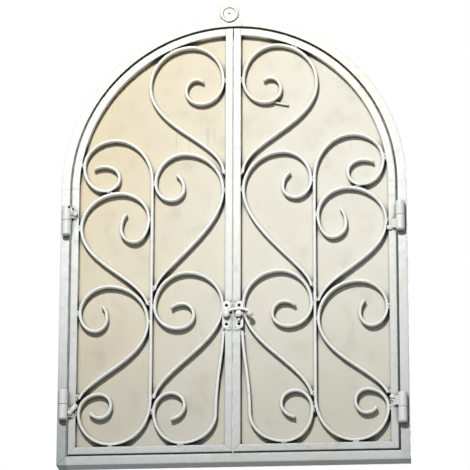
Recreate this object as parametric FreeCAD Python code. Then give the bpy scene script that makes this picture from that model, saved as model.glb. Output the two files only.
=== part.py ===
import FreeCAD, Part

import math
import os

# Arched window security grille: a welded tube frame with two hinged leaves.
# Each leaf is filled with flat-bar scrolls on edge, backed by a painted sheet,
# and a swing hook holds the two leaves shut.
# Millimetres. X runs across the window, Y towards the wall, Z up.
# The origin is the middle of the sill tube on the wall face.

# ---- outer frame ----
FRAME_WIDTH = 610.0
FRAME_HEIGHT = 813.0
ARCH_RISE = 315.0
FRAME_FACE = 16.0
FRAME_DEPTH = 38.0
FRAME_WALL = 1.5
SPLICE_OFFSET = 15.0
LIP_WIDTH = 9.0
LIP_THICK = 2.0

# ---- leaves ----
LEAF_TUBE = 12.7
LEAF_WALL = 1.2
JAMB_GAP = 3.5
ARCH_GAP = 4.0
SILL_GAP = 3.0
MEETING_GAP = 1.6
SHEET_THICK = 1.0
SHEET_MARGIN = 2.0
SHEET_MEETING_MARGIN = 0.2

# ---- scroll bars ----
BAR_THICK = 4.8
BAR_DEPTH = 12.7
WELD_GAP = 2.0
BAR_GAP = 1.0
WELD_RADIUS = 4.2
WELD_SETBACK = 0.4
STUB_THICK = 3.0
STUB_DEPTH = 6.0

# ---- barrel hinges ----
KNUCKLE_RADIUS = 8.0
KNUCKLE_LENGTH = 26.0
KNUCKLE_GAP = 0.6
KNUCKLE_ROUND = 1.0
KNUCKLE_CAP = 4.0
PIN_RADIUS = 4.0
PIN_CLEARANCE = 0.05
PIN_END_GAP = 0.3
FACE_CLEARANCE = 0.5
HINGE_SETBACK = 4.5
FOOT_WIDTH = 9.0
LUG_HEIGHT = 16.0
LUG_REACH = 9.0
LEFT_UPPER_DROP = 59.0
LEFT_LOWER_RISE = 106.0
RIGHT_UPPER_DROP = 65.0
RIGHT_LOWER_RISE = 89.0

# ---- swing hook latch ----
LATCH_HEIGHT = 254.0
LATCH_OFFSET = 11.0
PLATE_WIDTH = 15.0
PLATE_HEIGHT = 50.0
PLATE_THICK = 1.5
PLATE_CORNER = 6.5
PLATE_HOLE_RADIUS = 2.6
PLATE_HOLE_SPACING = 34.0
PILOT_RADIUS = 1.8
PLATE_WELD_RADIUS = 5.0
PLATE_WELD_PROUD = 2.8
PLATE_WELD_STEP = 1.5
POST_RADIUS = 3.0
POST_COLLAR_RADIUS = 4.6
POST_COLLAR = 1.5
HEAD_RADIUS = 5.8
HEAD_HEIGHT = 3.4
KEEPER_RADIUS = 5.2
KEEPER_BOSS_RADIUS = 2.4
KEEPER_BOSS_DROP = 9.5
HOOK_WIDTH = 6.4
HOOK_THICK = 4.5
HOOK_AXIAL_GAP = 0.2
HOOK_REST_GAP = 0.3
HOOK_BORE_CLEARANCE = 0.05
HOOK_EYE_RADIUS = 5.4
HOOK_REACH = 20.0
HOOK_BALL_RADIUS = 5.2
HOOK_BALL_PROUD = 1.6
HOOK_CREST = 1.0

# ---- hanging boss on the crown ----
BOSS_OFFSET = -7.0
BOSS_RISE = 8.0
BOSS_PLATE_WIDTH = 36.0
BOSS_PLATE_THICK = 4.0
BOSS_MARGIN = 1.0
RING_RADIUS = 16.0
RING_BORE = 11.0
RING_THICK = 4.0
WASHER_FIT = 0.2
WASHER_THICK = 1.5
HANGING_HOLE = 2.1

# ---- places worked out from the sizes above ----
HALF_WIDTH = FRAME_WIDTH / 2
FLOOR = -FRAME_FACE / 2
CROWN = FLOOR + FRAME_HEIGHT
SPRING = CROWN - ARCH_RISE
FRONT = -FRAME_DEPTH
LEAF_BACK = FRONT + LEAF_TUBE

STILE_OUT = HALF_WIDTH - FRAME_FACE - JAMB_GAP
STILE_IN = STILE_OUT - LEAF_TUBE
MEET_OUT = MEETING_GAP / 2
MEET_IN = MEET_OUT + LEAF_TUBE
RAIL_LOW = FLOOR + FRAME_FACE + SILL_GAP
RAIL_TOP = RAIL_LOW + LEAF_TUBE
LEAF_RISE = ARCH_RISE - FRAME_FACE - ARCH_GAP
INNER_RISE = LEAF_RISE - LEAF_TUBE
MIDDLE = (MEET_IN + STILE_IN) / 2

HALF_BAR = BAR_THICK / 2
BY_MEETING = MEET_IN + WELD_GAP + HALF_BAR
BY_HINGE = STILE_IN - WELD_GAP - HALF_BAR
INSIDE_MIDDLE = MIDDLE - BAR_THICK - BAR_GAP
OUTSIDE_MIDDLE = MIDDLE + BAR_THICK + BAR_GAP
ON_RAIL = RAIL_TOP + WELD_GAP + HALF_BAR

HINGE_X = HALF_WIDTH - FRAME_FACE + HINGE_SETBACK
HINGE_Y = FRONT - KNUCKLE_RADIUS - FACE_CLEARANCE

PLATE_FRONT = FRONT - PLATE_THICK
HOOK_BACK = PLATE_FRONT - POST_COLLAR - HOOK_AXIAL_GAP
HOOK_FRONT = HOOK_BACK - HOOK_THICK
HEAD_BACK = HOOK_FRONT - HOOK_AXIAL_GAP

# Upper hinges hang from the spring line, lower ones stand on the foot of the frame.
LEFT_UPPER_HINGE = SPRING - LEFT_UPPER_DROP
LEFT_LOWER_HINGE = FLOOR + LEFT_LOWER_RISE
RIGHT_UPPER_HINGE = SPRING - RIGHT_UPPER_DROP
RIGHT_LOWER_HINGE = FLOOR + RIGHT_LOWER_RISE

BOSS_HEIGHT = CROWN + BOSS_RISE

BIG = 4 * (FRAME_WIDTH + FRAME_HEIGHT)
NODES = {}


def vector(x, y, z):
    return FreeCAD.Vector(x, y, z)


def add(name, *solids):
    """Store a sub-part: one solid, or a group of like solids."""
    flat = []
    for solid in solids:
        flat.extend(solid.Solids)
    NODES[name] = flat[0] if len(flat) == 1 else Part.makeCompound(flat)


# ---- plain shapes ----

def block(x0, x1, y0, y1, z0, z1):
    """A box between two corners, given in either order along X."""
    left = min(x0, x1)
    size = (abs(x1 - x0), y1 - y0, z1 - z0)
    return Part.makeBox(*size, vector(left, y0, z0))


def slab(points, back, depth):
    """An outline of (x, z) points, extruded from its back face to the front."""
    corners = [vector(x, back, z) for x, z in points]
    wire = Part.makePolygon(corners + corners[:1])
    return Part.Face(wire).extrude(vector(0, -depth, 0))


def disc(x, z, radius, back, depth):
    """A round plate or rod whose axis runs from the wall to the front."""
    return Part.makeCylinder(radius, depth, vector(x, back, z), vector(0, -1, 0))


def oval(across, rise, back, depth):
    """An elliptical plate centred on the spring line."""
    centre = vector(0, back, SPRING)
    tall = vector(0, back, SPRING + rise)
    wide = vector(across, back, SPRING)
    major, minor = (tall, wide) if rise > across else (wide, tall)
    edge = Part.Ellipse(major, minor, centre).toShape()
    return Part.Face(Part.Wire(edge)).extrude(vector(0, -depth, 0))


def mirrored(solid, side):
    """The leaf pieces are drawn on the right and mirrored to the left."""
    if side > 0:
        return solid
    return solid.mirror(vector(0, 0, 0), vector(1, 0, 0))


# ---- tubes ----

def tube_ring(across, rise, face, wall, back, depth, x0, x1):
    """A bent rectangular tube along the arch, cut off at two X planes."""
    outer = oval(across, rise, back, depth)
    outer = outer.cut(oval(across - face, rise - face, back, depth))
    bore = oval(across - wall, rise - wall, back - wall, depth - 2 * wall)
    inside = oval(across - face + wall, rise - face + wall, back - wall, depth - 2 * wall)
    ring = outer.cut(bore.cut(inside))
    keep = block(x0, x1, back - depth, back, SPRING, SPRING + rise + face)
    return ring.common(keep)


def mitred_rail(end, low, face, wall, back, depth):
    """A level tube whose two ends are mitred at 45 degrees."""
    top = low + face
    outline = [(-end, low), (end, low), (end - face, top), (-end + face, top)]
    near = wall
    far = face - wall
    bore = [(-end + near, low + near), (end - near, low + near),
            (end - far, low + far), (-end + far, low + far)]
    body = slab(outline, back, depth)
    return body.cut(slab(bore, back - wall, depth - 2 * wall))


def mitred_post(outside, low, top, face, wall, back, depth):
    """An upright tube mitred at its foot and square at its head."""
    inside = outside - face
    outline = [(outside, low), (outside, top), (inside, top), (inside, low + face)]
    near = wall
    far = face - wall
    bore = [(outside - near, low + near), (outside - near, top),
            (outside - far, top), (outside - far, low + far)]
    body = slab(outline, back, depth)
    return body.cut(slab(bore, back - wall, depth - 2 * wall))


def outer_frame():
    """Sill, two jambs and the arch, which is spliced just right of the crown."""
    add("frame_sill", mitred_rail(HALF_WIDTH, FLOOR, FRAME_FACE, FRAME_WALL, 0, FRAME_DEPTH))
    jamb = mitred_post(HALF_WIDTH, FLOOR, SPRING, FRAME_FACE, FRAME_WALL, 0, FRAME_DEPTH)
    add("frame_right_jamb", jamb)
    add("frame_left_jamb", mirrored(jamb, -1))
    section = (HALF_WIDTH, ARCH_RISE, FRAME_FACE, FRAME_WALL, 0, FRAME_DEPTH)
    add("frame_arch_left", tube_ring(*section, -HALF_WIDTH, SPLICE_OFFSET))
    add("frame_arch_right", tube_ring(*section, SPLICE_OFFSET, HALF_WIDTH))


def frame_lips():
    """Flat lips on the wall side of the frame, which close the gap round the leaves."""
    side = HALF_WIDTH - FRAME_FACE
    low = FLOOR + FRAME_FACE
    inside = side - LIP_WIDTH
    top = low + LIP_WIDTH
    sill = [(-side, low), (side, low), (inside, top), (-inside, top)]
    jamb = [(side, low), (side, SPRING), (inside, SPRING), (inside, top)]
    add("frame_sill_lip", slab(sill, 0, LIP_THICK))
    add("frame_right_lip", slab(jamb, 0, LIP_THICK))
    add("frame_left_lip", mirrored(slab(jamb, 0, LIP_THICK), -1))
    rise = ARCH_RISE - FRAME_FACE
    ring = oval(side, rise, 0, LIP_THICK)
    ring = ring.cut(oval(inside, rise - LIP_WIDTH, 0, LIP_THICK))
    left = block(-side, SPLICE_OFFSET, -LIP_THICK, 0, SPRING, CROWN)
    right = block(SPLICE_OFFSET, side, -LIP_THICK, 0, SPRING, CROWN)
    add("frame_arch_left_lip", ring.common(left))
    add("frame_arch_right_lip", ring.common(right))


def hanging_boss():
    """A tab on the crown with a raised ring and a washer round the screw hole."""
    half = BOSS_PLATE_WIDTH / 2
    top = BOSS_HEIGHT + RING_RADIUS + BOSS_MARGIN
    back = FRONT + BOSS_PLATE_THICK
    plate = block(BOSS_OFFSET - half, BOSS_OFFSET + half, FRONT, back, CROWN - RING_RADIUS, top)
    plate = plate.cut(oval(HALF_WIDTH, ARCH_RISE, back, BOSS_PLATE_THICK))
    hole = disc(BOSS_OFFSET, BOSS_HEIGHT, HANGING_HOLE, back, BOSS_PLATE_THICK + WASHER_THICK)
    add("hanging_plate", plate.cut(hole))
    ring = disc(BOSS_OFFSET, BOSS_HEIGHT, RING_RADIUS, FRONT, RING_THICK)
    ring = ring.cut(disc(BOSS_OFFSET, BOSS_HEIGHT, RING_BORE, FRONT, RING_THICK))
    add("hanging_ring", ring)
    washer = disc(BOSS_OFFSET, BOSS_HEIGHT, RING_BORE - WASHER_FIT, FRONT, WASHER_THICK)
    add("hanging_washer", washer.cut(hole))


# ---- scroll paths ----

def height(share):
    """0 to 1 climbs from the bottom rail to the spring, 1 to 2 from there to the crown."""
    if share <= 1:
        return RAIL_TOP + share * (SPRING - RAIL_TOP)
    return SPRING + (share - 1) * INNER_RISE


def inner(share):
    """Place across the column beside the meeting stile."""
    return MEET_IN + share * (MIDDLE - MEET_IN)


def outer(share):
    """Place across the column beside the hinge stile."""
    return MIDDLE + share * (STILE_IN - MIDDLE)


def arch_side(share):
    """Inner face of the leaf's arch rail at a height above the spring line."""
    return STILE_IN * math.sqrt(1 - (share - 1) ** 2)


def quarter(start, end, upright, skip=0.0, stop=1.0, count=8):
    """Quarter of an ellipse; upright says that it leaves its start vertically."""
    points = []
    for step in range(count + 1):
        turn = math.pi / 2 * (skip + (stop - skip) * step / count)
        if upright:
            x = end[0] + (start[0] - end[0]) * math.cos(turn)
            z = start[1] + (end[1] - start[1]) * math.sin(turn)
        else:
            x = start[0] + (end[0] - start[0]) * math.sin(turn)
            z = end[1] + (start[1] - end[1]) * math.cos(turn)
        points.append((x, z))
    return points


def curl(turns, upright, skip):
    """Quarter ellipses through the widest points of a curl, from its free end."""
    points = []
    for index in range(len(turns) - 1):
        opening = skip if index == 0 else 0.0
        points += quarter(turns[index], turns[index + 1], upright, opening)[:-1]
        upright = not upright
    return points + [turns[-1]]


def tail(start, end, leave, arrive, lean=0.0, count=16):
    """A cubic curve that leaves the last loop upright and lands beside its stile."""
    way = 1 if end[1] > start[1] else -1
    second = (start[0], start[1] + way * leave)
    third = (end[0] + lean, end[1] - way * arrive)
    points = []
    for step in range(1, count + 1):
        t = step / count
        weights = ((1 - t) ** 3, 3 * t * (1 - t) ** 2, 3 * t * t * (1 - t), t ** 3)
        x = sum(w * p[0] for w, p in zip(weights, (start, second, third, end)))
        z = sum(w * p[1] for w, p in zip(weights, (start, second, third, end)))
        points.append((x, z))
    return points


def arch_room(points):
    """Smallest gap between a path and the underside of the leaf's arch rail."""
    across = STILE_OUT - LEAF_TUBE
    room = BIG
    for x, z in points:
        for step in range(91):
            turn = math.radians(step)
            reach = (across * math.cos(turn), SPRING + INNER_RISE * math.sin(turn))
            room = min(room, math.hypot(reach[0] - x, reach[1] - z))
    return room - HALF_BAR


def crown_scroll():
    """Scroll under the arch; its loop is raised until it meets the arch rail."""
    low = height(1.75)
    high = SPRING + INNER_RISE
    for _ in range(18):
        top = (low + high) / 2
        loop = [(BY_MEETING, height(1.70)), (inner(0.48), top), (inner(1.04), height(1.67))]
        if arch_room(curl(loop, True, 0.0)) > WELD_GAP:
            low = top
        else:
            high = top
    start = [(inner(0.404), height(1.712)), (inner(0.547), height(1.634)),
             (inner(0.335), height(1.549))]
    path = curl(start + loop, False, -0.45)
    return path + tail(loop[-1], (BY_MEETING - WELD_GAP / 2, height(1.082)), 80, 62)


def shoulder_scroll():
    """Scroll that bridges the inner column below the spring line."""
    turns = [(inner(0.76), height(1.095)), (inner(0.57), height(0.994)),
             (inner(0.74), height(0.951)), (INSIDE_MIDDLE, height(1.03)),
             (inner(0.57), height(1.22)), (BY_MEETING, height(0.985))]
    path = curl(turns, False, 0.3)
    return path + tail(turns[-1], (INSIDE_MIDDLE, height(0.599)), 75, 40, -4)


def waist_scroll():
    """Scroll that bridges the inner column at the height of the latch."""
    turns = [(inner(0.75), height(0.515)), (inner(0.58), height(0.545)),
             (inner(0.425), height(0.498)), (inner(0.643), height(0.449)),
             (INSIDE_MIDDLE, height(0.533)), (inner(0.52), height(0.665)),
             (BY_MEETING, height(0.533))]
    path = curl(turns, True, 0.3)
    return path + tail(turns[-1], (INSIDE_MIDDLE, height(0.181)), 70, 56, -10)


def foot_scroll():
    """J-shaped bar: a curl on the bottom rail with a stem up the meeting stile."""
    turns = [(inner(0.76), height(0.101)), (inner(0.543), height(0.154)),
             (inner(0.728), height(0.202)), (INSIDE_MIDDLE, height(0.129)),
             (inner(0.586), ON_RAIL), (inner(0.123), height(0.121))]
    path = curl(turns, False, 0.1)
    return path + tail(turns[-1], (BY_MEETING - WELD_GAP / 2, height(0.43)), 60, 40)


def column_bar():
    """The long bar of the outer column, curled outwards at both ends."""
    upper = [(outer(0.82), height(1.12)), (outer(0.66), height(1.152)),
             (outer(0.455), height(1.074)), (outer(0.64), height(0.993)),
             (arch_side(1.165) - WELD_GAP - HALF_BAR, height(1.149)),
             (outer(0.52), height(1.322)),
             (MIDDLE, height(1.04))]
    lower = [(MIDDLE, height(0.172)), (outer(0.53), ON_RAIL), (BY_HINGE, height(0.129)),
             (outer(0.693), height(0.202)), (outer(0.53), height(0.157)),
             (outer(0.68), height(0.112)), (outer(0.84), height(0.16))]
    path = curl(upper, True, 0.3)
    top = upper[-1][1]
    run = top - lower[0][1]
    count = 14
    path += [(MIDDLE, top - run * step / count) for step in range(1, count)]
    path += curl(lower[:-1], True, 0.0)
    return path + quarter(lower[-2], lower[-1], False, 0.0, 0.6)[1:]


def hip_scroll():
    """Scroll that bridges the outer column under the upper curl."""
    turns = [(outer(0.27), height(0.912)), (outer(0.423), height(0.842)),
             (outer(0.241), height(0.79)), (OUTSIDE_MIDDLE, height(0.878)),
             (outer(0.444), height(0.983)), (BY_HINGE, height(0.85))]
    path = curl(turns, False, 0.35)
    return path + tail(turns[-1], (OUTSIDE_MIDDLE, height(0.541)), 68, 55, 16)


def knee_scroll():
    """Scroll that bridges the outer column above the lower curl."""
    turns = [(outer(0.73), height(0.548)), (outer(0.60), height(0.494)),
             (outer(0.76), height(0.445)), (BY_HINGE, height(0.515)),
             (outer(0.582), height(0.618)), (OUTSIDE_MIDDLE, height(0.475))]
    path = curl(turns, False, 0.3)
    return path + tail(turns[-1], (BY_HINGE, height(0.183)), 68, 44, -19)


def bar_along(path):
    """Flat bar on edge: the path thickened to both sides and given its depth."""
    left = []
    right = []
    last = len(path) - 1
    for index, (x, z) in enumerate(path):
        before = path[max(index - 1, 0)]
        after = path[min(index + 1, last)]
        run = math.hypot(after[0] - before[0], after[1] - before[1])
        normal_x = -(after[1] - before[1]) / run * HALF_BAR
        normal_z = (after[0] - before[0]) / run * HALF_BAR
        left.append(vector(x + normal_x, LEAF_BACK, z + normal_z))
        right.append(vector(x - normal_x, LEAF_BACK, z - normal_z))
    first_side = Part.BSplineCurve()
    first_side.interpolate(left)
    second_side = Part.BSplineCurve()
    second_side.interpolate(right)
    edges = [first_side.toShape(), Part.LineSegment(left[-1], right[-1]).toShape(),
             second_side.toShape(), Part.LineSegment(right[0], left[0]).toShape()]
    wire = Part.Wire(Part.__sortEdges__(edges))
    return Part.Face(wire).extrude(vector(0, -BAR_DEPTH, 0))


# ---- leaves ----

def weld_places():
    """Middle of every weld between a bar and the piece beside it."""
    by_meeting = MEET_IN + WELD_GAP / 2
    by_hinge = STILE_IN - WELD_GAP / 2
    inside = MIDDLE - HALF_BAR - BAR_GAP / 2
    outside = MIDDLE + HALF_BAR + BAR_GAP / 2
    rail = RAIL_TOP + WELD_GAP / 2
    return [
        (by_meeting, height(1.70)), (by_meeting, height(1.094)), (by_meeting, height(0.985)),
        (by_meeting, height(0.533)), (by_meeting, height(0.424)),
        (inside, height(1.03)), (inside, height(0.606)), (inside, height(0.533)),
        (inside, height(0.188)), (inside, height(0.129)),
        (outside, height(0.878)), (outside, height(0.548)), (outside, height(0.475)),
        (arch_side(1.165) - WELD_GAP / 2, height(1.165)),
        (by_hinge, height(0.85)), (by_hinge, height(0.515)),
        (by_hinge, height(0.19)), (by_hinge, height(0.129)),
        (inner(0.586), rail), (outer(0.53), rail),
        (outer(0.58), height(0.9875)),
    ]


def arch_weld_place(path):
    """Where the crown scroll comes closest to the arch rail."""
    across = STILE_OUT - LEAF_TUBE
    best = (BIG, 0, 0)
    for x, z in path:
        for step in range(181):
            turn = math.radians(step / 2)
            reach = (across * math.cos(turn), SPRING + INNER_RISE * math.sin(turn))
            room = math.hypot(reach[0] - x, reach[1] - z)
            best = min(best, (room, (reach[0] + x) / 2, (reach[1] + z) / 2))
    return best[1:]


def weld(place, neighbours):
    """A blob of weld that fills the gap between the pieces around it."""
    length = BAR_DEPTH - 2 * WELD_SETBACK
    blob = disc(place[0], place[1], WELD_RADIUS, LEAF_BACK - WELD_SETBACK, length)
    for piece in neighbours:
        if piece.BoundBox.intersect(blob.BoundBox):
            blob = blob.cut(piece)
    return max(blob.Solids, key=lambda solid: solid.Volume)


def curl_stub(curl_bar):
    """Short strip left under the right crown curl, against the backing sheet."""
    half = STUB_THICK / 2
    start = (inner(0.44), height(1.556))
    end = (inner(0.65), height(1.532))
    outline = [(start[0], start[1] - half), (end[0], end[1] - half),
               (end[0], end[1] + half), (start[0], start[1] + half)]
    strip = slab(outline, LEAF_BACK, STUB_DEPTH).cut(curl_bar)
    return max(strip.Solids, key=lambda solid: solid.Volume)


def pilot_holes():
    """Empty screw holes in a meeting stile behind its latch plate."""
    half = PLATE_HOLE_SPACING / 2
    holes = [disc(LATCH_OFFSET, LATCH_HEIGHT + way * half, PILOT_RADIUS,
                  FRONT + 2 * LEAF_WALL, 3 * LEAF_WALL) for way in (1, -1)]
    return Part.makeCompound(holes)


def leaf_tubes():
    """Hinge stile, meeting stile, bottom rail and arch rail of the right leaf."""
    back = LEAF_BACK
    hinge_stile = mitred_post(STILE_OUT, RAIL_LOW, SPRING, LEAF_TUBE, LEAF_WALL, back, LEAF_TUBE)
    near = LEAF_WALL
    far = LEAF_TUBE - LEAF_WALL
    rail = slab([(MEET_OUT, RAIL_LOW), (STILE_OUT, RAIL_LOW), (STILE_IN, RAIL_TOP),
                 (MEET_IN, RAIL_TOP)], back, LEAF_TUBE)
    rail_bore = slab([(MEET_OUT + near, RAIL_LOW + near), (STILE_OUT - near, RAIL_LOW + near),
                      (STILE_OUT - far, RAIL_LOW + far), (MEET_OUT + far, RAIL_LOW + far)],
                     back - LEAF_WALL, LEAF_TUBE - 2 * LEAF_WALL)
    top = SPRING + LEAF_RISE
    stile = slab([(MEET_OUT, RAIL_LOW), (MEET_IN, RAIL_TOP), (MEET_IN, top), (MEET_OUT, top)],
                 back, LEAF_TUBE)
    stile_bore = slab([(MEET_OUT + near, RAIL_LOW + near), (MEET_OUT + far, RAIL_LOW + far),
                       (MEET_OUT + far, top), (MEET_OUT + near, top)],
                      back - LEAF_WALL, LEAF_TUBE - 2 * LEAF_WALL)
    under_arch = block(0, STILE_OUT, FRONT, back, RAIL_LOW, SPRING)
    under_arch = under_arch.fuse(oval(STILE_OUT, LEAF_RISE, back, LEAF_TUBE))
    stile = stile.cut(stile_bore).cut(pilot_holes()).common(under_arch)
    arch = tube_ring(STILE_OUT, LEAF_RISE, LEAF_TUBE, LEAF_WALL, back, LEAF_TUBE,
                     MEET_IN, STILE_OUT)
    return {"hinge_stile": hinge_stile, "meeting_stile": stile,
            "bottom_rail": rail.cut(rail_bore), "arch_rail": arch}


def backing_sheet():
    """Thin painted sheet on the back of a leaf, just inside its outline."""
    back = LEAF_BACK + SHEET_THICK
    low = RAIL_LOW + SHEET_MARGIN
    near = MEET_OUT + SHEET_MEETING_MARGIN
    far = STILE_OUT - SHEET_MARGIN
    plate = block(near, far, LEAF_BACK, back, low, SPRING)
    dome = oval(far, LEAF_RISE - SHEET_MARGIN, back, SHEET_THICK)
    half = block(near, far, LEAF_BACK, back, SPRING, CROWN)
    return plate.fuse(dome.common(half)).removeSplitter()


def leaf(side, name):
    """One leaf: tubes, seven scroll bars, their welds and the backing sheet."""
    tubes = leaf_tubes()
    paths = {"crown_scroll": crown_scroll(), "shoulder_scroll": shoulder_scroll(),
             "waist_scroll": waist_scroll(), "foot_scroll": foot_scroll(),
             "column_bar": column_bar(), "hip_scroll": hip_scroll(),
             "knee_scroll": knee_scroll()}
    bars = {key: bar_along(path) for key, path in paths.items()}
    around = list(tubes.values()) + list(bars.values())
    places = weld_places() + [arch_weld_place(paths["crown_scroll"])]
    welds = [mirrored(weld(place, around), side) for place in places]
    for key, solid in {**tubes, **bars}.items():
        add(name + "_" + key, mirrored(solid, side))
    add(name + "_scroll_welds", *welds)
    add(name + "_backing_sheet", mirrored(backing_sheet(), side))
    if side > 0:
        add(name + "_curl_stub", curl_stub(bars["crown_scroll"]))


# ---- hinges ----

def barrel(low, up):
    """Half of a bullet hinge: a rounded cylinder, blind-bored from its inner end."""
    body = Part.makeCylinder(KNUCKLE_RADIUS, KNUCKLE_LENGTH, vector(HINGE_X, HINGE_Y, low))
    outer_z = low + KNUCKLE_LENGTH if up else low
    rims = [edge for edge in body.Edges
            if edge.BoundBox.ZLength < KNUCKLE_ROUND and abs(edge.BoundBox.ZMin - outer_z) < 0.1]
    return body.makeFillet(KNUCKLE_ROUND, rims)


def socket(low, up, radius):
    """The blind bore of a knuckle, open towards the other knuckle."""
    depth = KNUCKLE_LENGTH - KNUCKLE_CAP
    start = low if up else low + KNUCKLE_CAP
    return Part.makeCylinder(radius, depth, vector(HINGE_X, HINGE_Y, start))


def frame_knuckle(low, up):
    """Knuckle with a weld foot on the face of the jamb."""
    half = FOOT_WIDTH / 2
    middle = HINGE_X
    foot = block(middle - half, middle + half, HINGE_Y, FRONT,
                 low + KNUCKLE_ROUND, low + KNUCKLE_LENGTH - KNUCKLE_ROUND)
    body = barrel(low, up).fuse(foot)
    return body.cut(socket(low, up, PIN_RADIUS)).removeSplitter()


def leaf_knuckle(low, up):
    """Knuckle with a lug that crosses the gap and lands on the hinge stile."""
    middle = low + KNUCKLE_LENGTH / 2
    z0 = middle - LUG_HEIGHT / 2
    edge = STILE_OUT - FACE_CLEARANCE
    tip = edge - LUG_REACH
    outline = [(HINGE_X, HINGE_Y - PIN_RADIUS), (HINGE_X, HINGE_Y + PIN_RADIUS),
               (edge, FRONT), (tip, FRONT), (tip, FRONT - PIN_RADIUS / 2)]
    corners = [vector(x, y, z0) for x, y in outline]
    lug = Part.Face(Part.makePolygon(corners + corners[:1])).extrude(vector(0, 0, LUG_HEIGHT))
    body = barrel(low, up).fuse(lug)
    return body.cut(socket(low, up, PIN_RADIUS + PIN_CLEARANCE)).removeSplitter()


def hinge_pin(middle, frame_below):
    """Pin fixed in the frame knuckle, with a running fit in the leaf knuckle."""
    reach = KNUCKLE_LENGTH - KNUCKLE_CAP
    in_leaf = reach - PIN_END_GAP + KNUCKLE_GAP / 2
    in_frame = reach + KNUCKLE_GAP / 2
    below = in_frame if frame_below else in_leaf
    return Part.makeCylinder(PIN_RADIUS, in_leaf + in_frame,
                             vector(HINGE_X, HINGE_Y, middle - below))


def hinge(side, name, middle, frame_below):
    """A barrel hinge: two knuckles on one pin, either half uppermost."""
    upper_low = middle + KNUCKLE_GAP / 2
    lower_low = middle - KNUCKLE_GAP / 2 - KNUCKLE_LENGTH
    frame_low = lower_low if frame_below else upper_low
    leaf_low = upper_low if frame_below else lower_low
    add(name + "_frame_knuckle", mirrored(frame_knuckle(frame_low, not frame_below), side))
    add(name + "_leaf_knuckle", mirrored(leaf_knuckle(leaf_low, frame_below), side))
    add(name + "_pin", mirrored(hinge_pin(middle, frame_below), side))


# ---- latch ----

def latch_plate(middle):
    """Upright plate with rounded corners and an empty screw hole at each end."""
    half = PLATE_WIDTH / 2
    low = LATCH_HEIGHT - PLATE_HEIGHT / 2
    plate = block(middle - half, middle + half, PLATE_FRONT, FRONT, low, low + PLATE_HEIGHT)
    corners = [edge for edge in plate.Edges if edge.BoundBox.YLength > PLATE_THICK / 2]
    plate = plate.makeFillet(PLATE_CORNER, corners)
    for way in (1, -1):
        z = LATCH_HEIGHT + way * PLATE_HOLE_SPACING / 2
        plate = plate.cut(disc(middle, z, PLATE_HOLE_RADIUS, FRONT, PLATE_THICK))
    return plate


def plate_welds(side):
    """Beads that hold a latch plate to its stile, above and below it."""
    middle = (MEET_OUT + MEET_IN) / 2
    beads = []
    for way in (1, -1):
        z = LATCH_HEIGHT + way * (PLATE_HEIGHT / 2 + PLATE_WELD_STEP)
        sunk = FRONT - PLATE_WELD_PROUD + PLATE_WELD_RADIUS
        bead = Part.makeSphere(PLATE_WELD_RADIUS, vector(middle, sunk, z))
        bead = bead.cut(block(0, 2 * STILE_OUT, FRONT, 0, RAIL_LOW, CROWN))
        bead = bead.cut(latch_plate(LATCH_OFFSET))
        beads.append(mirrored(max(bead.Solids, key=lambda solid: solid.Volume), side))
    return beads


def dome(x, back, radius, rise):
    """A low domed head on the front of a post."""
    ball_radius = (radius * radius + rise * rise) / (2 * rise)
    ball = Part.makeSphere(ball_radius, vector(x, back - rise + ball_radius, LATCH_HEIGHT))
    return ball.common(disc(x, LATCH_HEIGHT, radius, back, rise))


def latch():
    """Swing hook on the left leaf that drops over a headed post on the right one."""
    add("latch_pivot_plate", latch_plate(-LATCH_OFFSET))
    shaft = disc(-LATCH_OFFSET, LATCH_HEIGHT, POST_RADIUS, PLATE_FRONT, PLATE_FRONT - HEAD_BACK)
    collar = disc(-LATCH_OFFSET, LATCH_HEIGHT, POST_COLLAR_RADIUS, PLATE_FRONT, POST_COLLAR)
    head = dome(-LATCH_OFFSET, HEAD_BACK, HEAD_RADIUS, HEAD_HEIGHT)
    add("latch_pivot_post", shaft.fuse(collar).fuse(head).removeSplitter())

    keeper = latch_plate(LATCH_OFFSET)
    boss = disc(LATCH_OFFSET, LATCH_HEIGHT - KEEPER_BOSS_DROP, KEEPER_BOSS_RADIUS,
                PLATE_FRONT, POST_COLLAR)
    add("latch_keeper_plate", keeper.fuse(boss).removeSplitter())
    shaft = disc(LATCH_OFFSET, LATCH_HEIGHT, KEEPER_RADIUS, PLATE_FRONT, PLATE_FRONT - HEAD_BACK)
    head = dome(LATCH_OFFSET, HEAD_BACK, HEAD_RADIUS, HEAD_HEIGHT)
    add("latch_keeper_post", shaft.fuse(head).removeSplitter())

    add("left_plate_welds", *plate_welds(-1))
    add("right_plate_welds", *plate_welds(1))
    add("latch_hook", hook())


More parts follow.
